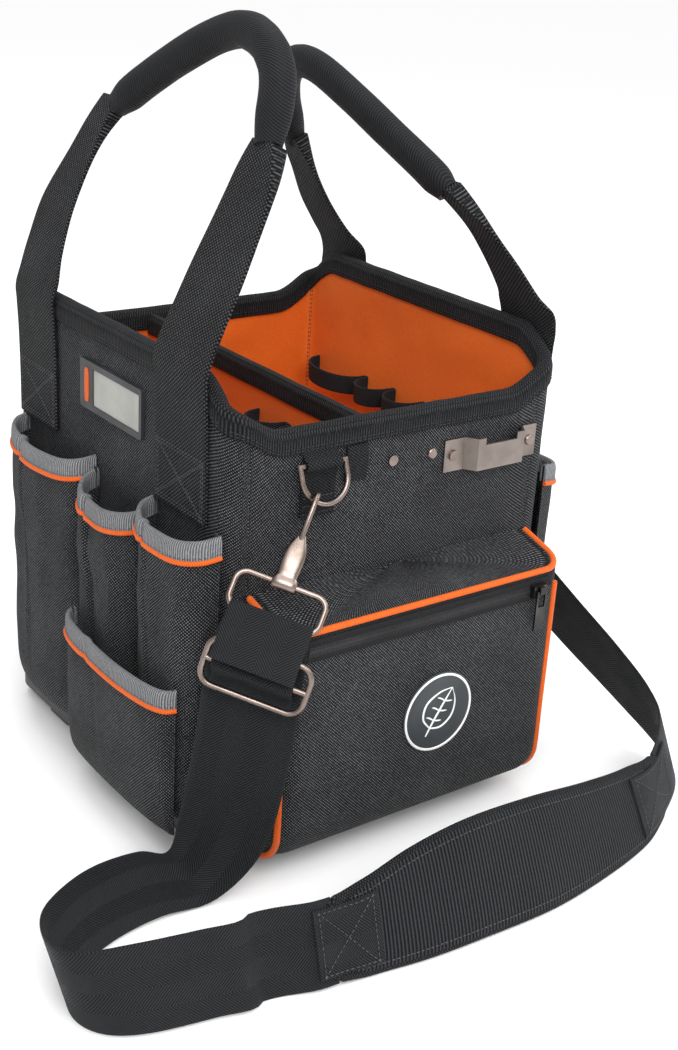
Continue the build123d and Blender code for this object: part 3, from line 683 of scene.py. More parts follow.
tape_stations = []
for step in range(81):
    y = DIVIDER_LOW.y + (DIVIDER_HIGH.y - DIVIDER_LOW.y) * step / 80
    base = Vector((DIVIDER_X + 0.9 * soft(y, 262, 14.2, 45), y, DIVIDER_HIGH.z - 12))
    tape_stations.append((base, 8.0, 14.0, Vector((1, 0, 0)), Vector((0, 0, 1))))
divider_tape = swept("divider_tape", tape_stations, rim_section(), rim_webbing)
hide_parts("divider_binding")
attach(divider_tape, "bag")

# ---- Elastic tool loops -------------------------------------------------------------
# Knitted black elastic sewn down between the loops, so that it stands off in a row of
# open waves that lean and twist: an uneven row on the right wall, an even one on the
# divider's left face.
elastic_knit = woven("black elastic", lambda tree, u, v: crossings(tree, u, v, 1.6, 2.8),
                     (0.003, 0.003, 0.0035), (0.03, 0.03, 0.033), 0.35, 0.9, 0.0006, (0.75, 0.95), 0.03, 0.4)


def heading_at(line, n):
    """Direction in which a line of points runs at its nth point."""
    return (line[min(n + 1, len(line) - 1)] - line[max(n - 1, 0)]).normalized()


def elastic_strip(name, face, side, loops, reach, height, tall):
    """Wavy strip of elastic on an upright face, its loops given as middle and half width."""
    points = []
    leans = []
    for loop_number, (centre, half) in enumerate(loops):
        for step in range(17):
            turn = pi * step / 16
            off = (reach - 2.0) * sin(turn) ** 0.8 * (1 + 0.10 * soft(centre, 0, 7.7, 9))
            sag = 2.6 * sin(turn) * soft(centre, 4, 1.3, 13)
            points.append(Vector((face + side * (off + 0.8), centre + half * cos(turn), height + sag)))
            leans.append(0.5 * sin(turn) * soft(centre, 9, 5.1, 15))
        if loop_number < len(loops) - 1:
            following, next_half = loops[loop_number + 1]
            gap = (centre - half + following + next_half) / 2
            points.append(Vector((face + side * 0.8, gap, height)))
            leans.append(0.0)
    stations = []
    for n, point in enumerate(points):
        heading = heading_at(points, n)
        across = (Vector((0, 0, 1)) - heading * heading.z).normalized()
        out = heading.cross(across)
        across = (across + out * leans[n]).normalized()
        stations.append((point, tall, 1.5, across, heading.cross(across)))
    return swept(name, stations, flat_section(8), elastic_knit)


for strip_name, node, face, side, loops, reach, height in (
        ("tool_elastic_right", "tool_loops_right", HALF_W - 7.6, -1,
         ((83, 29), (36, 15), (2, 16), (-36, 19), (-80, 22)), 22, 226),
        ("tool_elastic_left", "tool_loops_left", DIVIDER_X - 2.4, -1,
         ((-32, 15), (-68, 15), (-104, 15)), 20, 243)):
    strip = elastic_strip(strip_name, face, side, loops, reach, height, 14)
    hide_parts(node)
    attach(strip, "bag")

# ---- Side pockets -------------------------------------------------------------------
# Gusseted pockets of body cloth down both sides, three tall ones and a low one over
# them. Each is sewn to the wall up its ends, bellies out between, and has its mouth
# bound in grey tape with a bead of orange piping under it.
TRAY_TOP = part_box("base_tray")[1].z / MM
TAPE_TALL = 12.0
TAPE_WIDE = 4.2
PIPING_WIDE = 3.4
POCKET_LEVELS = 40
POCKET_COLUMNS = 56
grey_tape = woven("grey tape", lambda tree, u, v: diagonals(tree, u, v, 1.5, 2.2),
                  (0.085, 0.087, 0.092), (0.27, 0.275, 0.285), 0.15, 0.9, 0.0005, (0.7, 0.9), 0.04, 0.5)
orange_piping = woven("orange piping", lambda tree, u, v: diagonals(tree, u, v, 1.2),
                      (0.56, 0.078, 0.008), (0.74, 0.135, 0.015), 0.05, 0.9, 0.0002, (0.4, 0.6), 0.04, 0.5)


def belly(t, fullness=2.6):
    """How far a pocket's mouth stands out at t from 0 to 1 between its sewn ends."""
    return max(0.0, 1 - abs(2 * t - 1) ** fullness) ** (1 / fullness)


def pocket_mouth(name, rows, outward):
    """The tape, piping and stitches that finish a pocket, from the rows of its cloth."""
    tape_line = []
    piping_line = []
    for n, point in enumerate(rows[-1]):
        away = heading_at(rows[-1], n).cross(Vector((0, 0, 1))).normalized()
        tape_foot = point - away * 0.75 + Vector((0, 0, 1.2 - TAPE_TALL))
        tape_line.append((tape_foot, TAPE_WIDE, TAPE_TALL, away, Vector((0, 0, 1))))
        bead = point + away * 0.9 - Vector((0, 0, TAPE_TALL))
        piping_line.append((bead, PIPING_WIDE, PIPING_WIDE, away, Vector((0, 0, 1))))
    tape = swept(name + "_tape", tape_line, rim_section(), grey_tape)
    piping = swept(name + "_piping", piping_line, round_section(), orange_piping)
    stitches = sew(name + "_stitches", [
        [centre + away * 2.25 + Vector((0, 0, 1.6)) for centre, wide, thick, away, up in tape_line],
        [row[0] + outward * 0.9 for row in rows[3:]],
        [row[-1] + outward * 0.9 for row in rows[3:]],
    ], dark_thread, 3.2, 2.0, 0.26)
    return tape, piping, stitches


def side_pocket(name, side, wall_x, low_y, high_y, deep, top, seed, folds, slump):
    """One pocket, its tape and its piping, between two distances along the bag."""
    rows = []
    for level_number in range(POCKET_LEVELS + 1):
        share = level_number / POCKET_LEVELS
        row = []
        for column in range(POCKET_COLUMNS + 1):
            t = column / POCKET_COLUMNS
            foot = TRAY_TOP - 2
            z = foot + (top - foot) * share
            round_off = sqrt(max(0.0, 1 - max(0.0, (36 - (z - foot)) / 36) ** 2.4))
            off = deep * belly(t) * (0.30 + 0.70 * round_off)
            crease = folds * ease(share * 1.3) * ease((1 - share) * 3 + 0.3)
            rumple = sin(2 * pi * (t * 2.1 + seed)) * 0.5 + 1.2 * soft(t * 60, z, seed, 30)
            off += crease * belly(t, 2) * rumple
            pleat = max(0.0, 1 - abs(t - 0.68 + 0.14 * (1 - share)) / 0.05)
            off -= belly(t, 2) * folds * 0.8 * pleat * ease(share * 2)
            y = low_y + (high_y - low_y) * t
            dip = slump * belly(t, 2) * share ** 3
            row.append(Vector((side * (wall_x + max(0.4, min(off, deep + 0.6))), y, z - dip)))
        rows.append(row)
    if side < 0:
        rows = [row[::-1] for row in rows]
    cloth = cloth_sheet(name + "_cloth", rows, body_cloth, 1.5)
    row_ends = sorted((rows[-1][0], rows[-1][-1]), key=lambda point: point.y)
    tape, piping, stitches = pocket_mouth(name, rows, Vector((side, 0, 0)))
    tack_lines = []
    for end_point, inward in ((row_ends[0], 1), (row_ends[1], -1)):
        for aside in (1.0, 2.4, 3.8):
            tack_lines.append([end_point + Vector((side * 2.0, inward * aside, 2 - drop))
                               for drop in (0, 6, 12, 18)])
    tacks = sew(name + "_bar_tacks", tack_lines, black_thread, 1.3, 1.6, 0.5)
    for part, finish_slot in ((cloth, "body_fabric"), (tape, "grey_binding"), (piping, "lining_fabric"),
                              (stitches, "grey_binding"), (tacks, "webbing")):
        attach(part, "bag")
    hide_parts(name)


for side, side_name in ((-1, "left"), (1, "right")):
    side_pocket(f"{side_name}_pocket_back", side, HALF_W, 18, 116, 22.6, 222, 0.15 + side, 4.4, 6)
    side_pocket(f"{side_name}_pocket_middle", side, HALF_W, -56, 17, 22.0, 214, 0.55 + side, 4.0, 8)
    side_pocket(f"{side_name}_pocket_front", side, HALF_W, -132, -57, 22.6, 222, 0.85 + side, 3.0, 5)
    side_pocket(f"{side_name}_pocket_low", side, HALF_W + 21.5, -122, 9, 14.0, 124, 0.35 + side, 1.6, 2)

# ---- Back pockets -------------------------------------------------------------------
# Two plain pockets of the same cloth side by side across the back wall, taped and piped
# like the side ones, but with no bar tacks at their corners.


def back_pocket(name, x_low, x_high, deep, top, seed):
    """One back pocket with its tape and piping."""
    rows = []
    for level_number in range(POCKET_LEVELS + 1):
        share = level_number / POCKET_LEVELS
        z = TRAY_TOP - 2 + (top - TRAY_TOP + 2) * share
        row = []
        for column in range(POCKET_COLUMNS + 1):
            t = column / POCKET_COLUMNS
            round_off = sqrt(max(0.0, 1 - max(0.0, (30 - (z - TRAY_TOP)) / 32) ** 2.4))
            off = deep * belly(t, 3.2) * (0.35 + 0.65 * round_off)
            off += 1.6 * belly(t, 2) * soft(t * 90, z, seed, 34)
            x = x_high + (x_low - x_high) * t
            row.append(Vector((x, HALF_D + max(0.4, min(off, deep)), z - 4 * belly(t, 2) * share ** 3)))
        rows.append(row)
    cloth = cloth_sheet(name + "_cloth", rows, body_cloth, 1.5)
    tape, piping, stitches = pocket_mouth(name, rows, Vector((0, 1, 0)))
    for part, finish_slot in ((cloth, "body_fabric"), (tape, "grey_binding"), (piping, "lining_fabric"),
                              (stitches, "grey_binding")):
        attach(part, "bag")
    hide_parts(name)


back_pocket("back_pocket_left", -108, -4, 19.4, 206, 3.3)
back_pocket("back_pocket_right", 4, 108, 19.4, 206, 6.6)

# ---- Name tag -----------------------------------------------------------------------
# A moulded rubber frame stitched high on the left wall, with a grey film window to write
# on and a raised orange bar at its end.
tag_rubber = moulded("tag rubber", (0.012, 0.012, 0.014), (0.03, 0.03, 0.034), 0.4, 0.6, 1200, 0.0001)
tag_film, tree, shader = finish("tag film")
tree.links.new(spread(tree, grain(tree, 45), 0.3, 0.75, (0.27, 0.275, 0.25), (0.36, 0.365, 0.335)),
               shader.inputs["Base Color"])
roughness_from(tree, shader, grain(tree, 300), 0.35, 0.55)
relief(tree, shader, grain(tree, 1400, 1), 0.00006)
dress(tag_rubber, "name_tag_frame")
dress(tag_film, "name_tag_window")
tag_low, tag_high = (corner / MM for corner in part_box("name_tag_frame"))
bar_stations = []
for step in range(13):
    z = tag_low.z + 5 + (tag_high.z - tag_low.z - 10) * step / 12
    slim = 0.6 + 0.4 * sin(pi * step / 12) ** 0.3
    bar_stations.append((Vector((tag_low.x - 0.1, tag_high.y - 9, z)), 5.5 * slim, 1.0 * slim,
                         Vector((0, 1, 0)), Vector((-1, 0, 0))))
tag_bar = swept("name_tag_bar", bar_stations, flat_section(6, 0.2), orange_piping)
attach(tag_bar, "bag")

# ---- Carrying handles ---------------------------------------------------------------
# Each handle is one length of coarse nylon webbing: its ends are box-stitched down the
# side wall, it bends over the rim, and between them it is folded round a cord and sewn
# into a thick grip covered in smooth twill.
HINGE_X = HALF_W + 4.0
HINGE_Z = RIM_HIGH + 1.0
LEAN = radians(25.0)
GRIP_R = 11.0
handle_webbing = woven("handle webbing", lambda tree, u, v: crossings(tree, u, v, 3.0, 2.4),
                       (0.0016, 0.0018, 0.0022), (0.075, 0.078, 0.084), 0.5, 0.98, 0.001)
grip_twill = woven("grip twill", lambda tree, u, v: diagonals(tree, u, v, 2.0),
                   (0.003, 0.0034, 0.004), (0.015, 0.016, 0.019), 0.3, 0.9, 0.0003, (0.5, 0.75))


def curve_through(points, steps):
    """Smooth line through points, steps to each gap."""
    line = []
    for n in range(len(points) - 1):
        before = points[max(n - 1, 0)]
        start = points[n]
        end = points[n + 1]
        after = points[min(n + 2, len(points) - 1)]
        for step in range(steps):
            t = step / steps
            line.append((start * 2 + (end - before) * t + (before * 2 - start * 5 + end * 4 - after) * t * t
                         + (start * 3 - before - end * 3 + after) * t ** 3) * 0.5)
    line.append(points[-1].copy())
    return line


def ribbon_stations(edges_a, edges_b, thick_at, steps=8):
    """Stations of a strap between two edge lines, smooth from end to end."""
    line_a = curve_through(edges_a, steps)
    line_b = curve_through(edges_b, steps)
    middles = [(a + b) / 2 for a, b in zip(line_a, line_b)]
    stations = []
    for n, (a, b) in enumerate(zip(line_a, line_b)):
        heading = heading_at(middles, n)
        across = (b - a).normalized()
        out = across.cross(heading).normalized()
        stations.append((middles[n], (b - a).length, thick_at(n / (len(middles) - 1)), across, out))
    return stations


def band_stations(line, wide, thick, across):
    """Stations of a band of even width that bends along a line, flat in one direction."""
    return [(point, wide, thick, across, across.cross(heading_at(line, n))) for n, point in enumerate(line)]


def on_handle(side, y, s):
    """Point in a handle's leaning plane: y along the bag, s up the plane."""
    return Vector((side * (HINGE_X - s * sin(LEAN)), y, HINGE_Z + s * cos(LEAN)))


LEGS = {
    "left_handle_back_leg": (-1, (122, 68), ((126, 78, 28), (128, 86, 60), (112, 85, 104), (95, 74, 131))),
    "left_handle_front_leg": (-1, (-118, -60),
                              ((-117, -61, 28), (-116, -63, 60), (-111, -69, 104), (-100, -79, 130))),
    "right_handle_front_leg": (1, (-124, -72),
                               ((-113, -73, 18), (-99, -67, 40), (-78, -55, 66), (-56, -41, 86))),
    "right_handle_back_leg": (1, (132, 78), ((136, 92, 20), (141, 104, 42), (137, 110, 72), (128, 112, 92))),
}
BOX_LOW = 226
BOX_HIGH = 262
for leg_name, (side, (sewn_a, sewn_b), upper) in LEGS.items():
    edges_a = []
    edges_b = []
    for z, off in ((223.5, 1.9), (250, 2.0), (280, 2.6), (300, 3.6), (311, 4.0)):
        edges_a.append(Vector((side * (HALF_W + off), sewn_a, z)))
        edges_b.append(Vector((side * (HALF_W + off), sewn_b, z)))
    for y_a, y_b, s in ((sewn_a, sewn_b, 8), *upper):
        edges_a.append(on_handle(side, y_a, s))
        edges_b.append(on_handle(side, y_b, s))
    stations = ribbon_stations(edges_a, edges_b, lambda t: 2.4 + 9.0 * ease((t - 0.82) / 0.18), 9)
    leg = swept(leg_name, stations, flat_section(14), handle_webbing)
    handle_name = "left_handle" if side < 0 else "right_handle"
    if "back_leg" in leg_name:
        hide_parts(f"{handle_name}_webbing", f"{handle_name}_sewn_ends")
    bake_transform(leg)
    low_y, high_y = sorted((sewn_a, sewn_b))
    sewn_x = side * (HALF_W + 3.3)
    frame_lines = []
    for y in (low_y + 3, low_y + 5, high_y - 5, high_y - 3):
        frame_lines.append([Vector((sewn_x, y, BOX_LOW)), Vector((sewn_x, y, BOX_HIGH))])
    for z in (BOX_LOW, BOX_LOW + 2, BOX_HIGH - 2, BOX_HIGH):
        frame_lines.append([Vector((sewn_x, low_y + 3, z)), Vector((sewn_x, high_y - 3, z))])
    for spread_by in (-1.0, 1.0):
        near_y, far_y = low_y + 5 + spread_by, high_y - 5 + spread_by
        frame_lines.append([Vector((sewn_x, near_y, BOX_LOW + 2)), Vector((sewn_x, far_y, BOX_HIGH - 2))])
        frame_lines.append([Vector((sewn_x, far_y, BOX_LOW + 2)), Vector((sewn_x, near_y, BOX_HIGH - 2))])
    cross = sew(leg_name + "_box_stitch", frame_lines, dark_thread, 3.0, 2.2, 0.34)
    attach(cross, "bag")

GRIPS = {
    "left_handle": (-1, ((82, 127), (63, 144), (34, 165), (4, 182), (-20, 189), (-42, 186), (-62, 176),
                         (-76, 160), (-89, 128))),
    "right_handle": (1, ((-47, 81), (-30, 95), (0, 115), (28, 134), (60, 152), (84, 154), (104, 142),
                         (117, 120), (124, 88))),
}
for handle_name, (side, points) in GRIPS.items():
    line = curve_through([on_handle(side, y, s) for y, s in points], 10)
    flat_way = Vector((side * cos(LEAN), 0, sin(LEAN)))
    stations = []
    for n, point in enumerate(line):
        t = n / (len(line) - 1)
        heading = heading_at(line, n)
        across = heading.cross(flat_way).normalized()
        swell = 1.0 - 0.25 * (1 - ease(t * 12)) - 0.25 * (1 - ease((1 - t) * 12))
        ripple = 1 + 0.03 * soft(n * 3.0, 0, 31.7, 16)
        stations.append((point, 2 * GRIP_R * swell * ripple, 2 * GRIP_R * 0.94 * swell, across, flat_way))
    section = []
    for n in range(24):
        turn = 2 * pi * n / 24
        lap = 1.0 - 0.10 * max(0.0, 1 - abs(turn - 4.4) / 0.3)
        section.append((0.5 * cos(turn) * lap, 0.5 * sin(turn) * lap))
    grip = swept(handle_name + "_padded_grip", stations, section, grip_twill)
    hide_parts(handle_name + "_grip")
    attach(grip, handle_name)

# ---- Ring loops, webbing tab, rivets and tape clip ----------------------------------
# Short folded webbing loops hold the rings for the strap. A steel tape clip is riveted
# to the front wall beside a small webbing tab.


def metal(name, dark, light, blotches, scratches, low_rough, high_rough, pits, pit_depth):
    """Plated or brushed metal: blotched tint, scratched shine and fine pits."""
    material, tree, shader = finish(name)
    shader.inputs["Metallic"].default_value = 1.0
    tree.links.new(spread(tree, grain(tree, blotches), 0.25, 0.8, dark, light), shader.inputs["Base Color"])
    roughness_from(tree, shader, grain(tree, *scratches), low_rough, high_rough)
    relief(tree, shader, grain(tree, pits, 2), pit_depth)
    return material


nickel = metal("nickel plate", (0.155, 0.12, 0.10), (0.31, 0.25, 0.225), 70, (420, 4), 0.22, 0.42,
               1800, 0.00005)
brushed = metal("brushed steel", (0.15, 0.125, 0.11), (0.30, 0.26, 0.235), 50, (500, 5), 0.32, 0.52,
                1500, 0.00005)
gunmetal = metal("black zip metal", (0.035, 0.034, 0.034), (0.09, 0.085, 0.082), 80, (600, 4), 0.3, 0.5,
                 1600, 0.00004)
dress(nickel, "front_d_ring", "back_d_ring", "panel_rivets", "clip_rivets",
      "front_strap_ring", "back_strap_ring", "strap_adjuster")
dress(brushed, "tape_clip", "front_hook_gate", "back_hook_gate")
dress(gunmetal, "zip_slider", "zip_pull")
RING_Z = 259.0
for end, side in (("front", -1), ("back", 1)):
    low, high = (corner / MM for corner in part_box(f"{end}_ring_loop"))
    middle_x = (low.x + high.x) / 2
    wall_y = side * HALF_D
    ring_y = side * (HALF_D + 4.2)
    turn_points = []
    for y_off, z_off in ((0.9, -34), (0.9, -22), (1.2, -12), (1.8, -6)):
        turn_points.append(Vector((middle_x, wall_y + side * y_off, RING_Z + z_off)))
    for step in range(9):
        turn = -pi / 2 + pi * step / 8
        turn_points.append(Vector((middle_x, ring_y + side * 3.0 * cos(turn), RING_Z + 3.0 * sin(turn))))
    turn_points.append(Vector((middle_x, wall_y + side * 1.3, 265)))
    turn_points.append(Vector((middle_x, wall_y + side * 0.9, 271)))
    stations = band_stations(curve_through(turn_points, 3), 25.0, 1.5, Vector((1, 0, 0)))
    loop = swept(f"{end}_ring_webbing", stations, flat_section(8), rim_webbing)
    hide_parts(f"{end}_ring_loop")
    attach(loop, "bag")
    loop_rows = [[Vector((middle_x + x, wall_y + side * 2.7, z)) for x in (-11, 11)] for z in (228, 233, 238)]
    loop_stitches = sew(f"{end}_ring_loop_stitches", loop_rows, dark_thread, 2.6, 1.9, 0.3)
    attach(loop_stitches, "bag")
tab_low, tab_high = (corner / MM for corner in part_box("webbing_tab"))
tab_stations = []
for step in range(15):
    t = step / 14
    point = Vector(((tab_low.x + tab_high.x) / 2, tab_high.y - 1.1 - 0.8 * sin(pi * t),
                    tab_low.z + (tab_high.z - tab_low.z) * t))
    tab_stations.append((point, tab_high.x - tab_low.x, 1.6, Vector((1, 0, 0)), Vector((0, -1, 0))))
tab = swept("front_webbing_tab", tab_stations, flat_section(8), rim_webbing)
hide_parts("webbing_tab")
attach(tab, "bag")

# ---- Zipped front pocket ------------------------------------------------------------
# A padded pocket of body cloth that bellies out and tucks under at the bottom, closed by
# a coil zip under a sloping lid, with orange piping round the lid and down the corners.
POCKET_LOW, POCKET_HIGH = (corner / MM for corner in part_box("zip_pocket_shell"))
LID_LOW, LID_HIGH = (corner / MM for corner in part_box("zip_pocket_lid"))
POCKET_HALF = POCKET_HIGH.x
FACE_Y = POCKET_LOW.y
WALL_Y = -HALF_D
TURN = 16.0
FOOT_ROLL = 24.0
LID_FRONT_Z = 172.6


def pocket_outline(face, count, half=POCKET_HALF, turn=TURN):
    """Points round the pocket from the wall on the left, along its face, to the wall on the right."""
    side_run = (WALL_Y - face) - turn
    arc = turn * pi / 2
    front = 2 * (half - turn)
    whole = 2 * side_run + 2 * arc + front
    points = []
    for n in range(count + 1):
        s = whole * n / count
        if s <= side_run:
            points.append((Vector((-half, WALL_Y - s, 0)), Vector((-1, 0, 0))))
        elif s <= side_run + arc:
            a = (s - side_run) / turn
            away = Vector((-cos(a), -sin(a), 0))
            points.append((Vector((-half + turn, face + turn, 0)) + away * turn, away))
        elif s <= side_run + arc + front:
            points.append((Vector((-half + turn + s - side_run - arc, face, 0)), Vector((0, -1, 0))))
        elif s <= side_run + 2 * arc + front:
            a = (s - side_run - arc - front) / turn
            away = Vector((sin(a), -cos(a), 0))
            points.append((Vector((half - turn, face + turn, 0)) + away * turn, away))
        else:
            y = face + turn + (s - side_run - 2 * arc - front)
            points.append((Vector((half, y, 0)), Vector((1, 0, 0))))
    return points


COLUMNS = 120
SHELL_LEVELS = 45
ROLL_LEVELS = 12
shell_rows = []
for level_number in range(SHELL_LEVELS + 1):
    share = level_number / SHELL_LEVELS
    if level_number < ROLL_LEVELS:
        roll = (pi / 2) * (1 - level_number / ROLL_LEVELS)
        z = POCKET_LOW.z + FOOT_ROLL - FOOT_ROLL * sin(roll)
        back = FOOT_ROLL * (1 - cos(roll))
    else:
        rise = POCKET_HIGH.z - 0.6 - POCKET_LOW.z - FOOT_ROLL
        z = POCKET_LOW.z + FOOT_ROLL + rise * (level_number - ROLL_LEVELS) / (SHELL_LEVELS - ROLL_LEVELS)
        back = 0.0
    row = []
    outline = pocket_outline(FACE_Y + 0.8 + back, COLUMNS, POCKET_HALF - 0.8 - back * 0.12)
    for column, (point, away) in enumerate(outline):
        centre = belly(column / COLUMNS, 3)
        swell = 0.5 * centre * sin(pi * share) + 0.7 * soft(point.x + point.y, z, 17.5, 42) * sin(pi * share)
        row.append(point + away * min(swell, 0.9) + Vector((0, 0, z)))
    shell_rows.append(row)
pocket_cloth = cloth_sheet("front_pocket_cloth", shell_rows, body_cloth, 2.6)
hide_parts("zip_pocket_shell")
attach(pocket_cloth, "bag")

under_rows = []
for step in range(9):
    t = step / 8
    y = FACE_Y + 22 + (WALL_Y - FACE_Y - 22) * t
    z = POCKET_LOW.z + 0.2 + 0.5 * sin(pi * t)
    under_rows.append([Vector((-POCKET_HALF + 5 + (2 * POCKET_HALF - 10) * n / 50, y, z)) for n in range(51)])
pocket_under = cloth_sheet("front_pocket_bottom", under_rows, body_cloth, -1.6, inward=True)
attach(pocket_under, "bag")


def lid_height(point):
    """Height of the lid's top over a point: it slopes down from the wall to its front edge."""
    t = (WALL_Y - point.y) / (WALL_Y - FACE_Y)
    return LID_HIGH.z + (LID_FRONT_Z - LID_HIGH.z) * t


lid_rows = []
edge = pocket_outline(FACE_Y + 0.8, COLUMNS, POCKET_HALF - 0.8)
for shrink in (0.0, 0.2, 0.4, 0.6, 0.8, 0.93):
    row = []
    for point, away in edge:
        spot = Vector((point.x * shrink * 0.985, WALL_Y - 1.2 + (point.y - WALL_Y + 1.2) * shrink, 0))
        puff = 1.1 * sin(pi * shrink) * (1 + 0.6 * soft(spot.x, spot.y, 6.1, 30))
        row.append(spot + Vector((0, 0, lid_height(spot) - 1.4 + min(puff, 1.2))))
    lid_rows.append(row)
for drop, out in ((0.5, -2.2), (1.6, -0.8), (3.4, -0.2), (6.0, 0.0), (8.6, 0.0), (10.6, -0.2)):
    row = []
    for point, away in edge:
        top = lid_height(point)
        z = max(LID_LOW.z + 0.2, top - drop * (top - LID_LOW.z) / 10.8)
        row.append(point + away * out + Vector((0, 0, z)))
    lid_rows.append(row)
lid = cloth_sheet("front_pocket_lid", lid_rows, body_cloth, 1.8, inward=True)
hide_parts("zip_pocket_lid")
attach(lid, "pocket_lid")

lid_piping_line = []
for point, away in edge[1:-1]:
    bead = point - away * 1.0 + Vector((0, 0, lid_height(point) - 1.2))
    lid_piping_line.append((bead, 4.2, 4.2, away, Vector((0, 0, 1))))
lid_piping = swept("lid_piping", lid_piping_line, round_section(), orange_piping)
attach(lid_piping, "pocket_lid")

facing_line = []
for point, away in edge[2:-2]:
    facing_foot = LID_LOW.z + 0.4
    facing_top = lid_height(point) - 2.6
    facing_middle = point + away * 0.35 + Vector((0, 0, (facing_foot + facing_top) / 2))
    facing_line.append((facing_middle, facing_top - facing_foot, 0.9, Vector((0, 0, 1)), away))
facing = swept("lid_facing", facing_line, flat_section(6), rim_webbing)
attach(facing, "pocket_lid")

for side, side_name in ((-1, "left"), (1, "right")):
    corner_way = Vector((side * sqrt(0.5), -sqrt(0.5), 0))
    run = []
    for z in (POCKET_HIGH.z - 1, 140, 115, 90, 64, POCKET_LOW.z + FOOT_ROLL):
        run.append((0.0, z))
    for roll in (18, 36, 54, 72, 84):
        back = FOOT_ROLL * (1 - cos(radians(roll)))
        run.append((back, POCKET_LOW.z + FOOT_ROLL - FOOT_ROLL * sin(radians(roll))))
    run += [(30, POCKET_LOW.z + 1.5), (38, POCKET_LOW.z + 2.5)]
    knots = []
    for back, z in run:
        centre_x = side * (POCKET_HALF - 0.8 - TURN)
        knots.append(Vector((centre_x, FACE_Y + 0.8 + back + TURN, z)) + corner_way * (TURN + 0.9))
    line = curve_through(knots, 6)
    stations = []
    for n, point in enumerate(line):
        heading = heading_at(line, n)
        across = heading.cross(corner_way).normalized()
        stations.append((point, 4.4, 4.4, across, across.cross(heading)))
    bead_run = swept(f"pocket_piping_{side_name}", stations, round_section(), orange_piping)
    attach(bead_run, "bag")

zip_tape_cloth = woven("zip tape", lambda tree, u, v: diagonals(tree, u, v, 1.1, 1.6),
                       (0.004, 0.004, 0.0045), (0.02, 0.02, 0.022), 0.2, 0.9, 0.0002)
coil_plastic = moulded("zip coil", (0.006, 0.006, 0.007), (0.03, 0.03, 0.033), 0.25, 0.45, 2000, 0.0001)
TEETH = 150
for half, body in (("lower", "bag"), ("upper", "pocket_lid")):
    low, high = (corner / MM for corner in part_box(f"zip_tape_{half}"))
    stations = []
    for step in range(61):
        x = low.x + (high.x - low.x) * step / 60
        point = Vector((x, (low.y + high.y) / 2 - 0.1 - 0.2 * soft(x, 0, 4.1, 20), (low.z + high.z) / 2))
        stations.append((point, high.z - low.z, 0.8, Vector((0, 0, 1)), Vector((0, -1, 0))))
    tape = swept(f"zip_tape_{half}_cloth", stations, flat_section(8), zip_tape_cloth)
    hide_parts(f"zip_tape_{half}")
    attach(tape, body)
    edge_z = high.z - 0.9 if half == "lower" else low.z + 0.9
    coil_lines = []
    for tooth in range(TEETH):
        x = low.x + 1 + (high.x - low.x - 2) * (tooth + (0.5 if half == "upper" else 0)) / TEETH
        coil_lines.append([Vector((x, low.y - 0.3, edge_z - 1.4)),
                           Vector((x + 0.3, low.y - 0.3, edge_z + 1.0))])
    coil = sew(f"zip_coil_{half}", coil_lines, coil_plastic, 1.2, 1.6, 0.42)
    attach(coil, body)

# ---- Badge --------------------------------------------------------------------------
# A round moulded rubber badge glued and stitched to the pocket, with a raised pale rim
# and a plain leaf in relief.
badge_low, badge_high = (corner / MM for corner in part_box("badge"))
BADGE_MID = (badge_low + badge_high) / 2
BADGE_R = (badge_high.x - badge_low.x) / 2
badge_rubber = moulded("badge rubber", (0.025, 0.03, 0.033), (0.045, 0.05, 0.054), 0.45, 0.65, 1300, 0.0001)
badge_white = moulded("badge white", (0.70, 0.70, 0.70), (0.85, 0.85, 0.85), 0.45, 0.6, 1300, 0.0001)


DISC_SIDES = 72
RING_SIDES = 96


def disc(name, radius, depth, rings, material, y_face):
    """A domed disc facing forward, from rings of radius share and height share."""
    rows = []
    for share, lift in rings:
        row = []
        for n in range(DISC_SIDES):
            x = BADGE_MID.x + radius * share * cos(2 * pi * n / DISC_SIDES)
            z = BADGE_MID.z + radius * share * sin(2 * pi * n / DISC_SIDES)
            row.append(Vector((x, y_face - depth * lift, z)))
        rows.append(row)
    return cloth_sheet(name, rows, material, 0, wrap=True, close_end=True)


badge_back = badge_high.y
BADGE_RINGS = ((0.97, -0.6), (1.0, 0.0), (1.0, 0.8), (0.98, 1.0), (0.7, 1.0), (0.4, 1.05), (0.15, 1.1))
badge_disc = disc("badge_disc", BADGE_R, 1.0, BADGE_RINGS, badge_rubber, badge_back)
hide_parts("badge")
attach(badge_disc, "bag")
ring_stations = []
for n in range(RING_SIDES):
    turn = 2 * pi * n / RING_SIDES
    away = Vector((cos(turn), 0, sin(turn)))
    ring_point = Vector((BADGE_MID.x, badge_back - 1.1, BADGE_MID.z)) + away * (BADGE_R - 1.6)
    ring_stations.append((ring_point, 1.7, 1.1, away, Vector((0, -1, 0))))
badge_ring = swept("badge_ring", ring_stations, round_section(8), badge_white, closed=True)
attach(badge_ring, "bag")


def relief_line(name, points, wide):
    """A raised line on the badge, through points in its own plane."""
    knots = [Vector((BADGE_MID.x + x, badge_back - 1.15, BADGE_MID.z + z)) for x, z in points]
    line = curve_through(knots, 6)
    stations = []
    for n, point in enumerate(line):
        t = n / (len(line) - 1)
        heading = heading_at(line, n)
        slim = 0.35 + 0.65 * sin(pi * min(1, t * 1.1 + 0.05)) ** 0.6
        across = heading.cross(Vector((0, -1, 0))).normalized()
        stations.append((point, wide * slim, 0.9, across, Vector((0, -1, 0))))
    piece = swept(name, stations, round_section(8), badge_white)
    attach(piece, "bag")


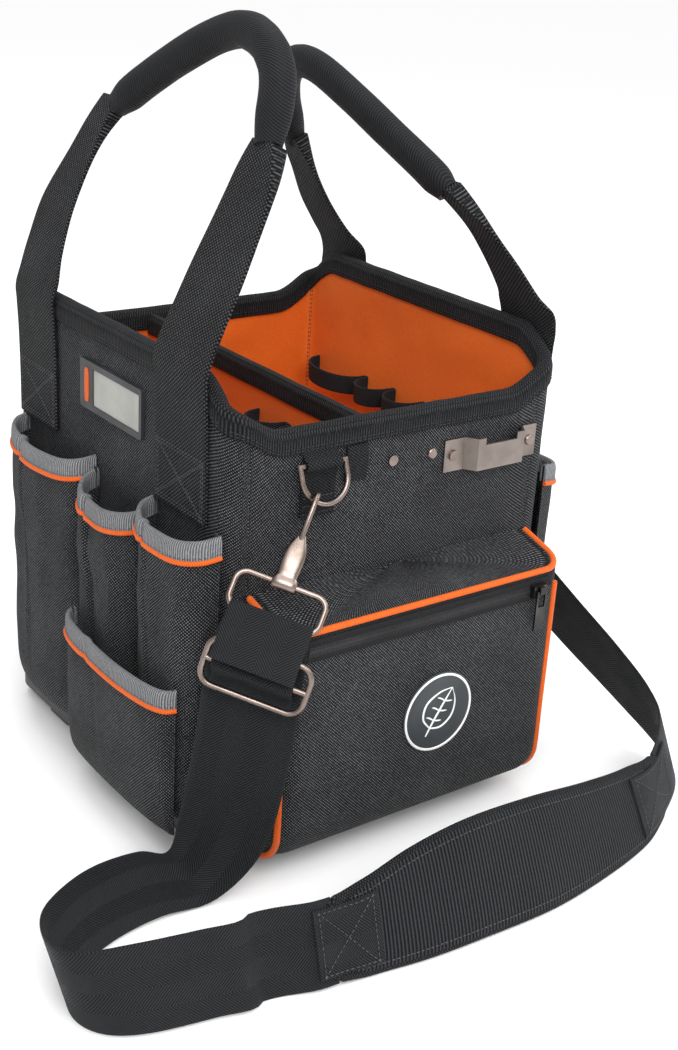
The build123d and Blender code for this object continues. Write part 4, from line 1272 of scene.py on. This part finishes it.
relief_line("badge_leaf_stem", ((-9, -15), (-5, -8), (0, 0), (6, 9), (10, 15)), 1.6)
relief_line("badge_leaf_left", ((-6, -10), (-12, -2), (-10, 8), (0, 14), (10, 15)), 1.5)
relief_line("badge_leaf_right", ((-6, -10), (3, -11), (11, -5), (13, 5), (10, 15)), 1.5)
for vein, (x, z) in enumerate(((-3.5, -5), (0.5, 1), (4.5, 7))):
    relief_line(f"badge_vein_left_{vein}", ((x, z), (x - 3.5, z + 2.5), (x - 6, z + 3.5)), 1.1)
    relief_line(f"badge_vein_right_{vein}", ((x, z), (x + 3.5, z - 1.0), (x + 6, z - 1.2)), 1.1)

# ---- Shoulder strap -----------------------------------------------------------------
# Two-inch nylon webbing with four twill bands, clipped on at both ends: it runs down
# from the front hook, loops over the floor through the shoulder pad, and climbs past the
# bag's right side to the back hook.
strap_twill = woven("strap twill", lambda tree, u, v: diagonals(tree, u, v, 1.9, 12.5),
                    (0.0035, 0.004, 0.0046), (0.02, 0.0215, 0.0245), 0.15, 0.9, 0.0004, (0.5, 0.75))
UP_FRONT = Vector((0.567, 0.268, 0.779))
ACROSS_FRONT = Vector((0.689, -0.672, -0.271))
LOW_FRONT = Vector((-113.27, -166.64, 182.27))
UP_BACK = Vector((-0.867, -0.319, 0.384))
ACROSS_BACK = Vector((-0.347, -0.167, -0.923))
LOW_BACK = Vector((139.38, 168.83, 215.71))
STRAP_HALF = 25.0
GAP = 4.8
FRONT_END = LOW_FRONT - UP_FRONT * GAP
BACK_END = LOW_BACK - UP_BACK * GAP
STRAP_EDGES = (
    (FRONT_END - ACROSS_FRONT * STRAP_HALF, FRONT_END + ACROSS_FRONT * STRAP_HALF),
    ((-139, -143, 158), (-100, -183, 143)), ((-147, -143, 102), (-108, -184, 90)),
    ((-156, -143, 55), (-120, -180, 38)), ((-164, -144, 32), (-143, -166, 3)),
    ((-186, -148, 42), (-178, -162, 2)), ((-215, -152, 46), (-208, -165, 1)),
    ((-240, -162, 48), (-233, -175, 1)), ((-262, -178, 49), (-253, -192, 1)),
    ((-271, -200, 50), (-261, -212, 1)), ((-264, -219, 50), (-254, -231, 1)),
    ((-235, -229, 50), (-232, -244, 1)), ((-190, -238, 49), (-188, -254, 1)),
    ((-150, -245, 49), (-150, -262, 1)), ((-120, -246, 46), (-124, -265, 1)),
    ((-95, -246, 47), (-100, -267, 1)), ((-60, -245, 56), (-64, -273, 1)),
    ((-20, -246, 62), (-22, -276, 1)), ((30, -246, 60), (30, -277, 1)),
    ((80, -243, 52), (82, -270, 1)), ((125, -236, 44), (128, -259, 1)),
    ((158, -229, 44), (162, -244, 2)), ((190, -205, 52), (198, -221, 5)),
    ((203, -180, 60), (213, -190, 12)), ((201, -150, 78), (212, -145, 30)),
    ((194, -110, 102), (204, -92, 56)), ((186, -60, 132), (194, -35, 88)),
    ((177, 0, 165), (184, 25, 122)), ((170, 70, 200), (175, 92, 157)),
    ((160, 128, 222), (166, 146, 176)),
    (BACK_END - ACROSS_BACK * STRAP_HALF, BACK_END + ACROSS_BACK * STRAP_HALF),
)
SMOOTH = 8
strap_line = ribbon_stations([Vector(a) for a, b in STRAP_EDGES], [Vector(b) for a, b in STRAP_EDGES],
                             lambda t: 2.0, SMOOTH)
FACING = 1 if strap_line[17 * SMOOTH][4].y < 0 else -1
CREASE = 12.3
for n, (centre, wide, thick, across, out) in enumerate(strap_line):
    place = n / SMOOTH
    tuck = 6.5 * ease((place - CREASE) / 0.25) * (1 - ease((place - CREASE - 0.35) / 1.0))
    tuck -= 1.6 * ease((place - CREASE + 0.5) / 0.4) * (1 - ease((place - CREASE) / 0.2))
    strap_line[n] = (centre - out * (FACING * tuck), wide, thick, across, out)


def strap_piece(name, first, last, node):
    """Webbing between two places on the strap."""
    piece = swept(name, strap_line[first * SMOOTH:last * SMOOTH + 1], flat_section(14), strap_twill)
    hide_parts(node)
    return piece


front_run = strap_piece("strap_front_webbing", 0, 6, "strap_front_run")
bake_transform(front_run)
floor_run = strap_piece("strap_floor_webbing", 6, 14, "strap_floor_run")
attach(floor_run, "bag")
back_run = strap_piece("strap_back_webbing", 21, 30, "strap_back_run")
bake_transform(back_run)

for end, side, up, across, low in (("front", -1, UP_FRONT, ACROSS_FRONT, LOW_FRONT),
                                   ("back", 1, UP_BACK, ACROSS_BACK, LOW_BACK)):
    out = across.cross(up).normalized()
    points = [low - up * 32 + out * 3.1, low - up * 22 + out * 3.1]
    points += [low - up * 11 + out * 3.2, low - up * 4 + out * 3.3]
    points += [low + (out * cos(radians(a)) + up * sin(radians(a))) * 3.3 for a in range(0, 181, 30)]
    points += [low - up * 4 - out * 2.4, low - up * 11 - out * 2.2, low - up * 22 - out * 2.1]
    stations = band_stations(curve_through(points, 4), 2 * STRAP_HALF, 1.8, across)
    fold = swept(f"strap_{end}_fold", stations, flat_section(14), strap_twill)
    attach(fold, f"{end}_clip")
slider_low, slider_high = (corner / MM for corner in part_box("strap_adjuster"))
slider_mid = (slider_low + slider_high) / 2
nearest = min(range(4 * SMOOTH), key=lambda n: (strap_line[n][0] - slider_mid).length)
centre, wide, thick, across, out = strap_line[nearest]
outward = out if out.y < 0 else -out
heading = (strap_line[nearest + 1][0] - strap_line[nearest - 1][0]).normalized()
rise = (slider_mid - centre).dot(outward)
HUMP_HALF = 18.0
HUMP_BROAD = 6.5
hump_stations = []
for step in range(25):
    d = -HUMP_HALF + 2 * HUMP_HALF * step / 24
    swell = e ** (-(d / HUMP_BROAD) ** 2)
    point = centre + heading * d + outward * (1.9 + (rise + 1.6) * swell)
    slope = -2 * d / HUMP_BROAD ** 2 * (rise + 1.6) * swell
    run_way = (heading + outward * slope).normalized()
    hump_stations.append((point, 2 * STRAP_HALF - 0.6, 1.8, across, across.cross(run_way)))
hump = swept("strap_over_slider", hump_stations, flat_section(14), strap_twill)
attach(hump, "strap_slider")

# ---- Snap hooks ---------------------------------------------------------------------
# A die-cast nickel hook on each clip: a rounded body turning on the square ring's upper
# bar, tapering into a wire bow that closes on the sprung gate.
RING_TALL = 22.0
BOW_WIRE = 3.5
HOOK_BODY = ((-3.9, 13.0, 3.0), (-3.2, 14.6, 6.2), (-1.6, 15.0, 8.2), (0.0, 15.0, 8.8), (1.8, 15.0, 8.2),
             (3.4, 14.2, 7.0), (4.6, 11.8, 6.6), (7.0, 12.2, 7.4), (12.0, 13.0, 8.0), (17.0, 13.0, 7.6),
             (21.0, 12.0, 6.8), (24.5, 9.6, 5.8), (27.5, 6.8, 5.0), (30.0, 4.6, 4.2), (31.0, 3.0, 3.0))
HOOK_BOW = ((0.8, 26.0), (2.6, 30.0), (4.4, 37.0), (5.5, 44.0), (5.5, 50.0), (3.7, 54.6), (-0.7, 56.2),
            (-5.0, 54.6), (-6.5, 50.5), (-6.5, 45.0))
cast_section = []
for n in range(28):
    turn = 2 * pi * n / 28
    rounded = [0.5 * (1 if part > 0 else -1) * abs(part) ** 0.62 for part in (cos(turn), sin(turn))]
    cast_section.append(tuple(rounded))
for end, up, across, low in (("front", UP_FRONT, ACROSS_FRONT, LOW_FRONT),
                             ("back", UP_BACK, ACROSS_BACK, LOW_BACK)):
    out = across.cross(up).normalized()
    pivot = low + up * RING_TALL
    body_stations = [(pivot + up * rise + out * 0.4, wide, thick, across, out)
                     for rise, wide, thick in HOOK_BODY]
    cast_body = swept(f"{end}_hook_body", body_stations, cast_section, nickel)
    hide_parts(f"{end}_hook")
    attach(cast_body, f"{end}_clip")
    line = curve_through([pivot + out * aside + up * rise for aside, rise in HOOK_BOW], 5)
    stations = band_stations(line, BOW_WIRE, BOW_WIRE, across)
    wire_bow = swept(f"{end}_hook_bow", stations, round_section(12), nickel)
    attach(wire_bow, f"{end}_clip")

# ---- Shoulder pad -------------------------------------------------------------------
# A foam pad in ribbed mesh on the strap, thick along its middle, bound all round with
# flat black tape, and held at each end by a patch of strap webbing sewn with a cross.
pad_ribs = woven("pad ribs", lambda tree, u, v: math_node(tree, "MULTIPLY_ADD", wave(tree, v, 2.4), 0.5, 0.5),
                 (0.0025, 0.003, 0.0035), (0.03, 0.032, 0.036), 0.3, 0.9, 0.0009, (0.7, 0.9))
PAD_START = 14
PAD_END = 21
PAD_THIN = 3.0
PAD_FOAM = 7.5


def pad_full(n):
    """How far the pad has come to its full size at a strap station, 0 at its ends to 1."""
    t = (n - PAD_START * SMOOTH) / ((PAD_END - PAD_START) * SMOOTH)
    return min(ease(t * 7), ease((1 - t) * 7))


pad_stations = []
for n in range(PAD_START * SMOOTH, PAD_END * SMOOTH + 1):
    centre, wide, thick, across, out = strap_line[n]
    full = pad_full(n)
    pad_stations.append((centre, wide * (0.9 + 0.1 * full), PAD_THIN + PAD_FOAM * full, across, out))
pad_section = []
for n in range(41):
    a = -0.5 + n / 40
    edge_fall = max(0.0, 1 - (abs(a) / 0.5) ** 3.2)
    pad_section.append((a, 0.14 + 0.36 * edge_fall ** 0.5))
pad_section += [(a, -b) for a, b in reversed(pad_section)]
pad = swept("shoulder_pad_foam", pad_stations, pad_section, pad_ribs)
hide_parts("shoulder_pad")
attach(pad, "bag")
pad_loop = [centre + across * (wide * 0.465) for centre, wide, thick, across, out in pad_stations]
pad_loop += [centre - across * (wide * 0.465) for centre, wide, thick, across, out in reversed(pad_stations)]
edge_stations = []
for n, point in enumerate(pad_loop):
    heading = (pad_loop[(n + 1) % len(pad_loop)] - pad_loop[n - 1]).normalized()
    station = pad_stations[n] if n < len(pad_stations) else pad_stations[2 * len(pad_stations) - 1 - n]
    out = station[4]
    across = out.cross(heading).normalized()
    edge_stations.append((point, 8.0, 5.4, across, out))
pad_edge = swept("shoulder_pad_binding", edge_stations, round_section(14), rim_webbing, closed=True)
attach(pad_edge, "bag")


def on_pad(n, share, lift):
    """Point on the pad's outer face by strap station, share of its width, and lift off it."""
    centre, wide, thick, across, out = strap_line[n]
    pad_face = (PAD_THIN + PAD_FOAM * pad_full(n)) / 2
    return centre + across * (wide * share) + out * (FACING * (pad_face + lift))


PAD_STITCH_LIFT = -1.1
pad_run = range(PAD_START * SMOOTH + 3, PAD_END * SMOOTH - 2)
stitch_rows = [[on_pad(n, share, PAD_STITCH_LIFT) for n in pad_run] for share in (-0.42, 0.42)]
for patch_name, first, last in (("start", PAD_START * SMOOTH - 4, PAD_START * SMOOTH + 9),
                                ("end", PAD_END * SMOOTH - 9, PAD_END * SMOOTH + 4)):
    patch_stations = []
    for n in range(first, last + 1):
        centre, wide, thick, across, out = strap_line[n]
        patch_stations.append((on_pad(n, 0, 0.7), wide * 0.80, 1.8, across, out))
    patch = swept(f"pad_patch_{patch_name}", patch_stations, flat_section(14), strap_twill)
    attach(patch, "bag")
    for share in (-0.36, 0.36):
        stitch_rows.append([on_pad(n, share, 1.8) for n in range(first + 1, last)])
    steps = last - first - 2
    for way in (-1, 1):
        stitch_rows.append([on_pad(first + 1 + k, way * 0.36 * (1 - 2 * k / steps), 1.8)
                            for k in range(steps + 1)])
    for n in (first + 1, last - 1):
        stitch_rows.append([on_pad(n, share, 1.8) for share in (-0.36, 0.36)])
pad_stitches = sew("pad_stitches", stitch_rows, dark_thread, 3.2, 2.3, 0.34)
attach(pad_stitches, "bag")
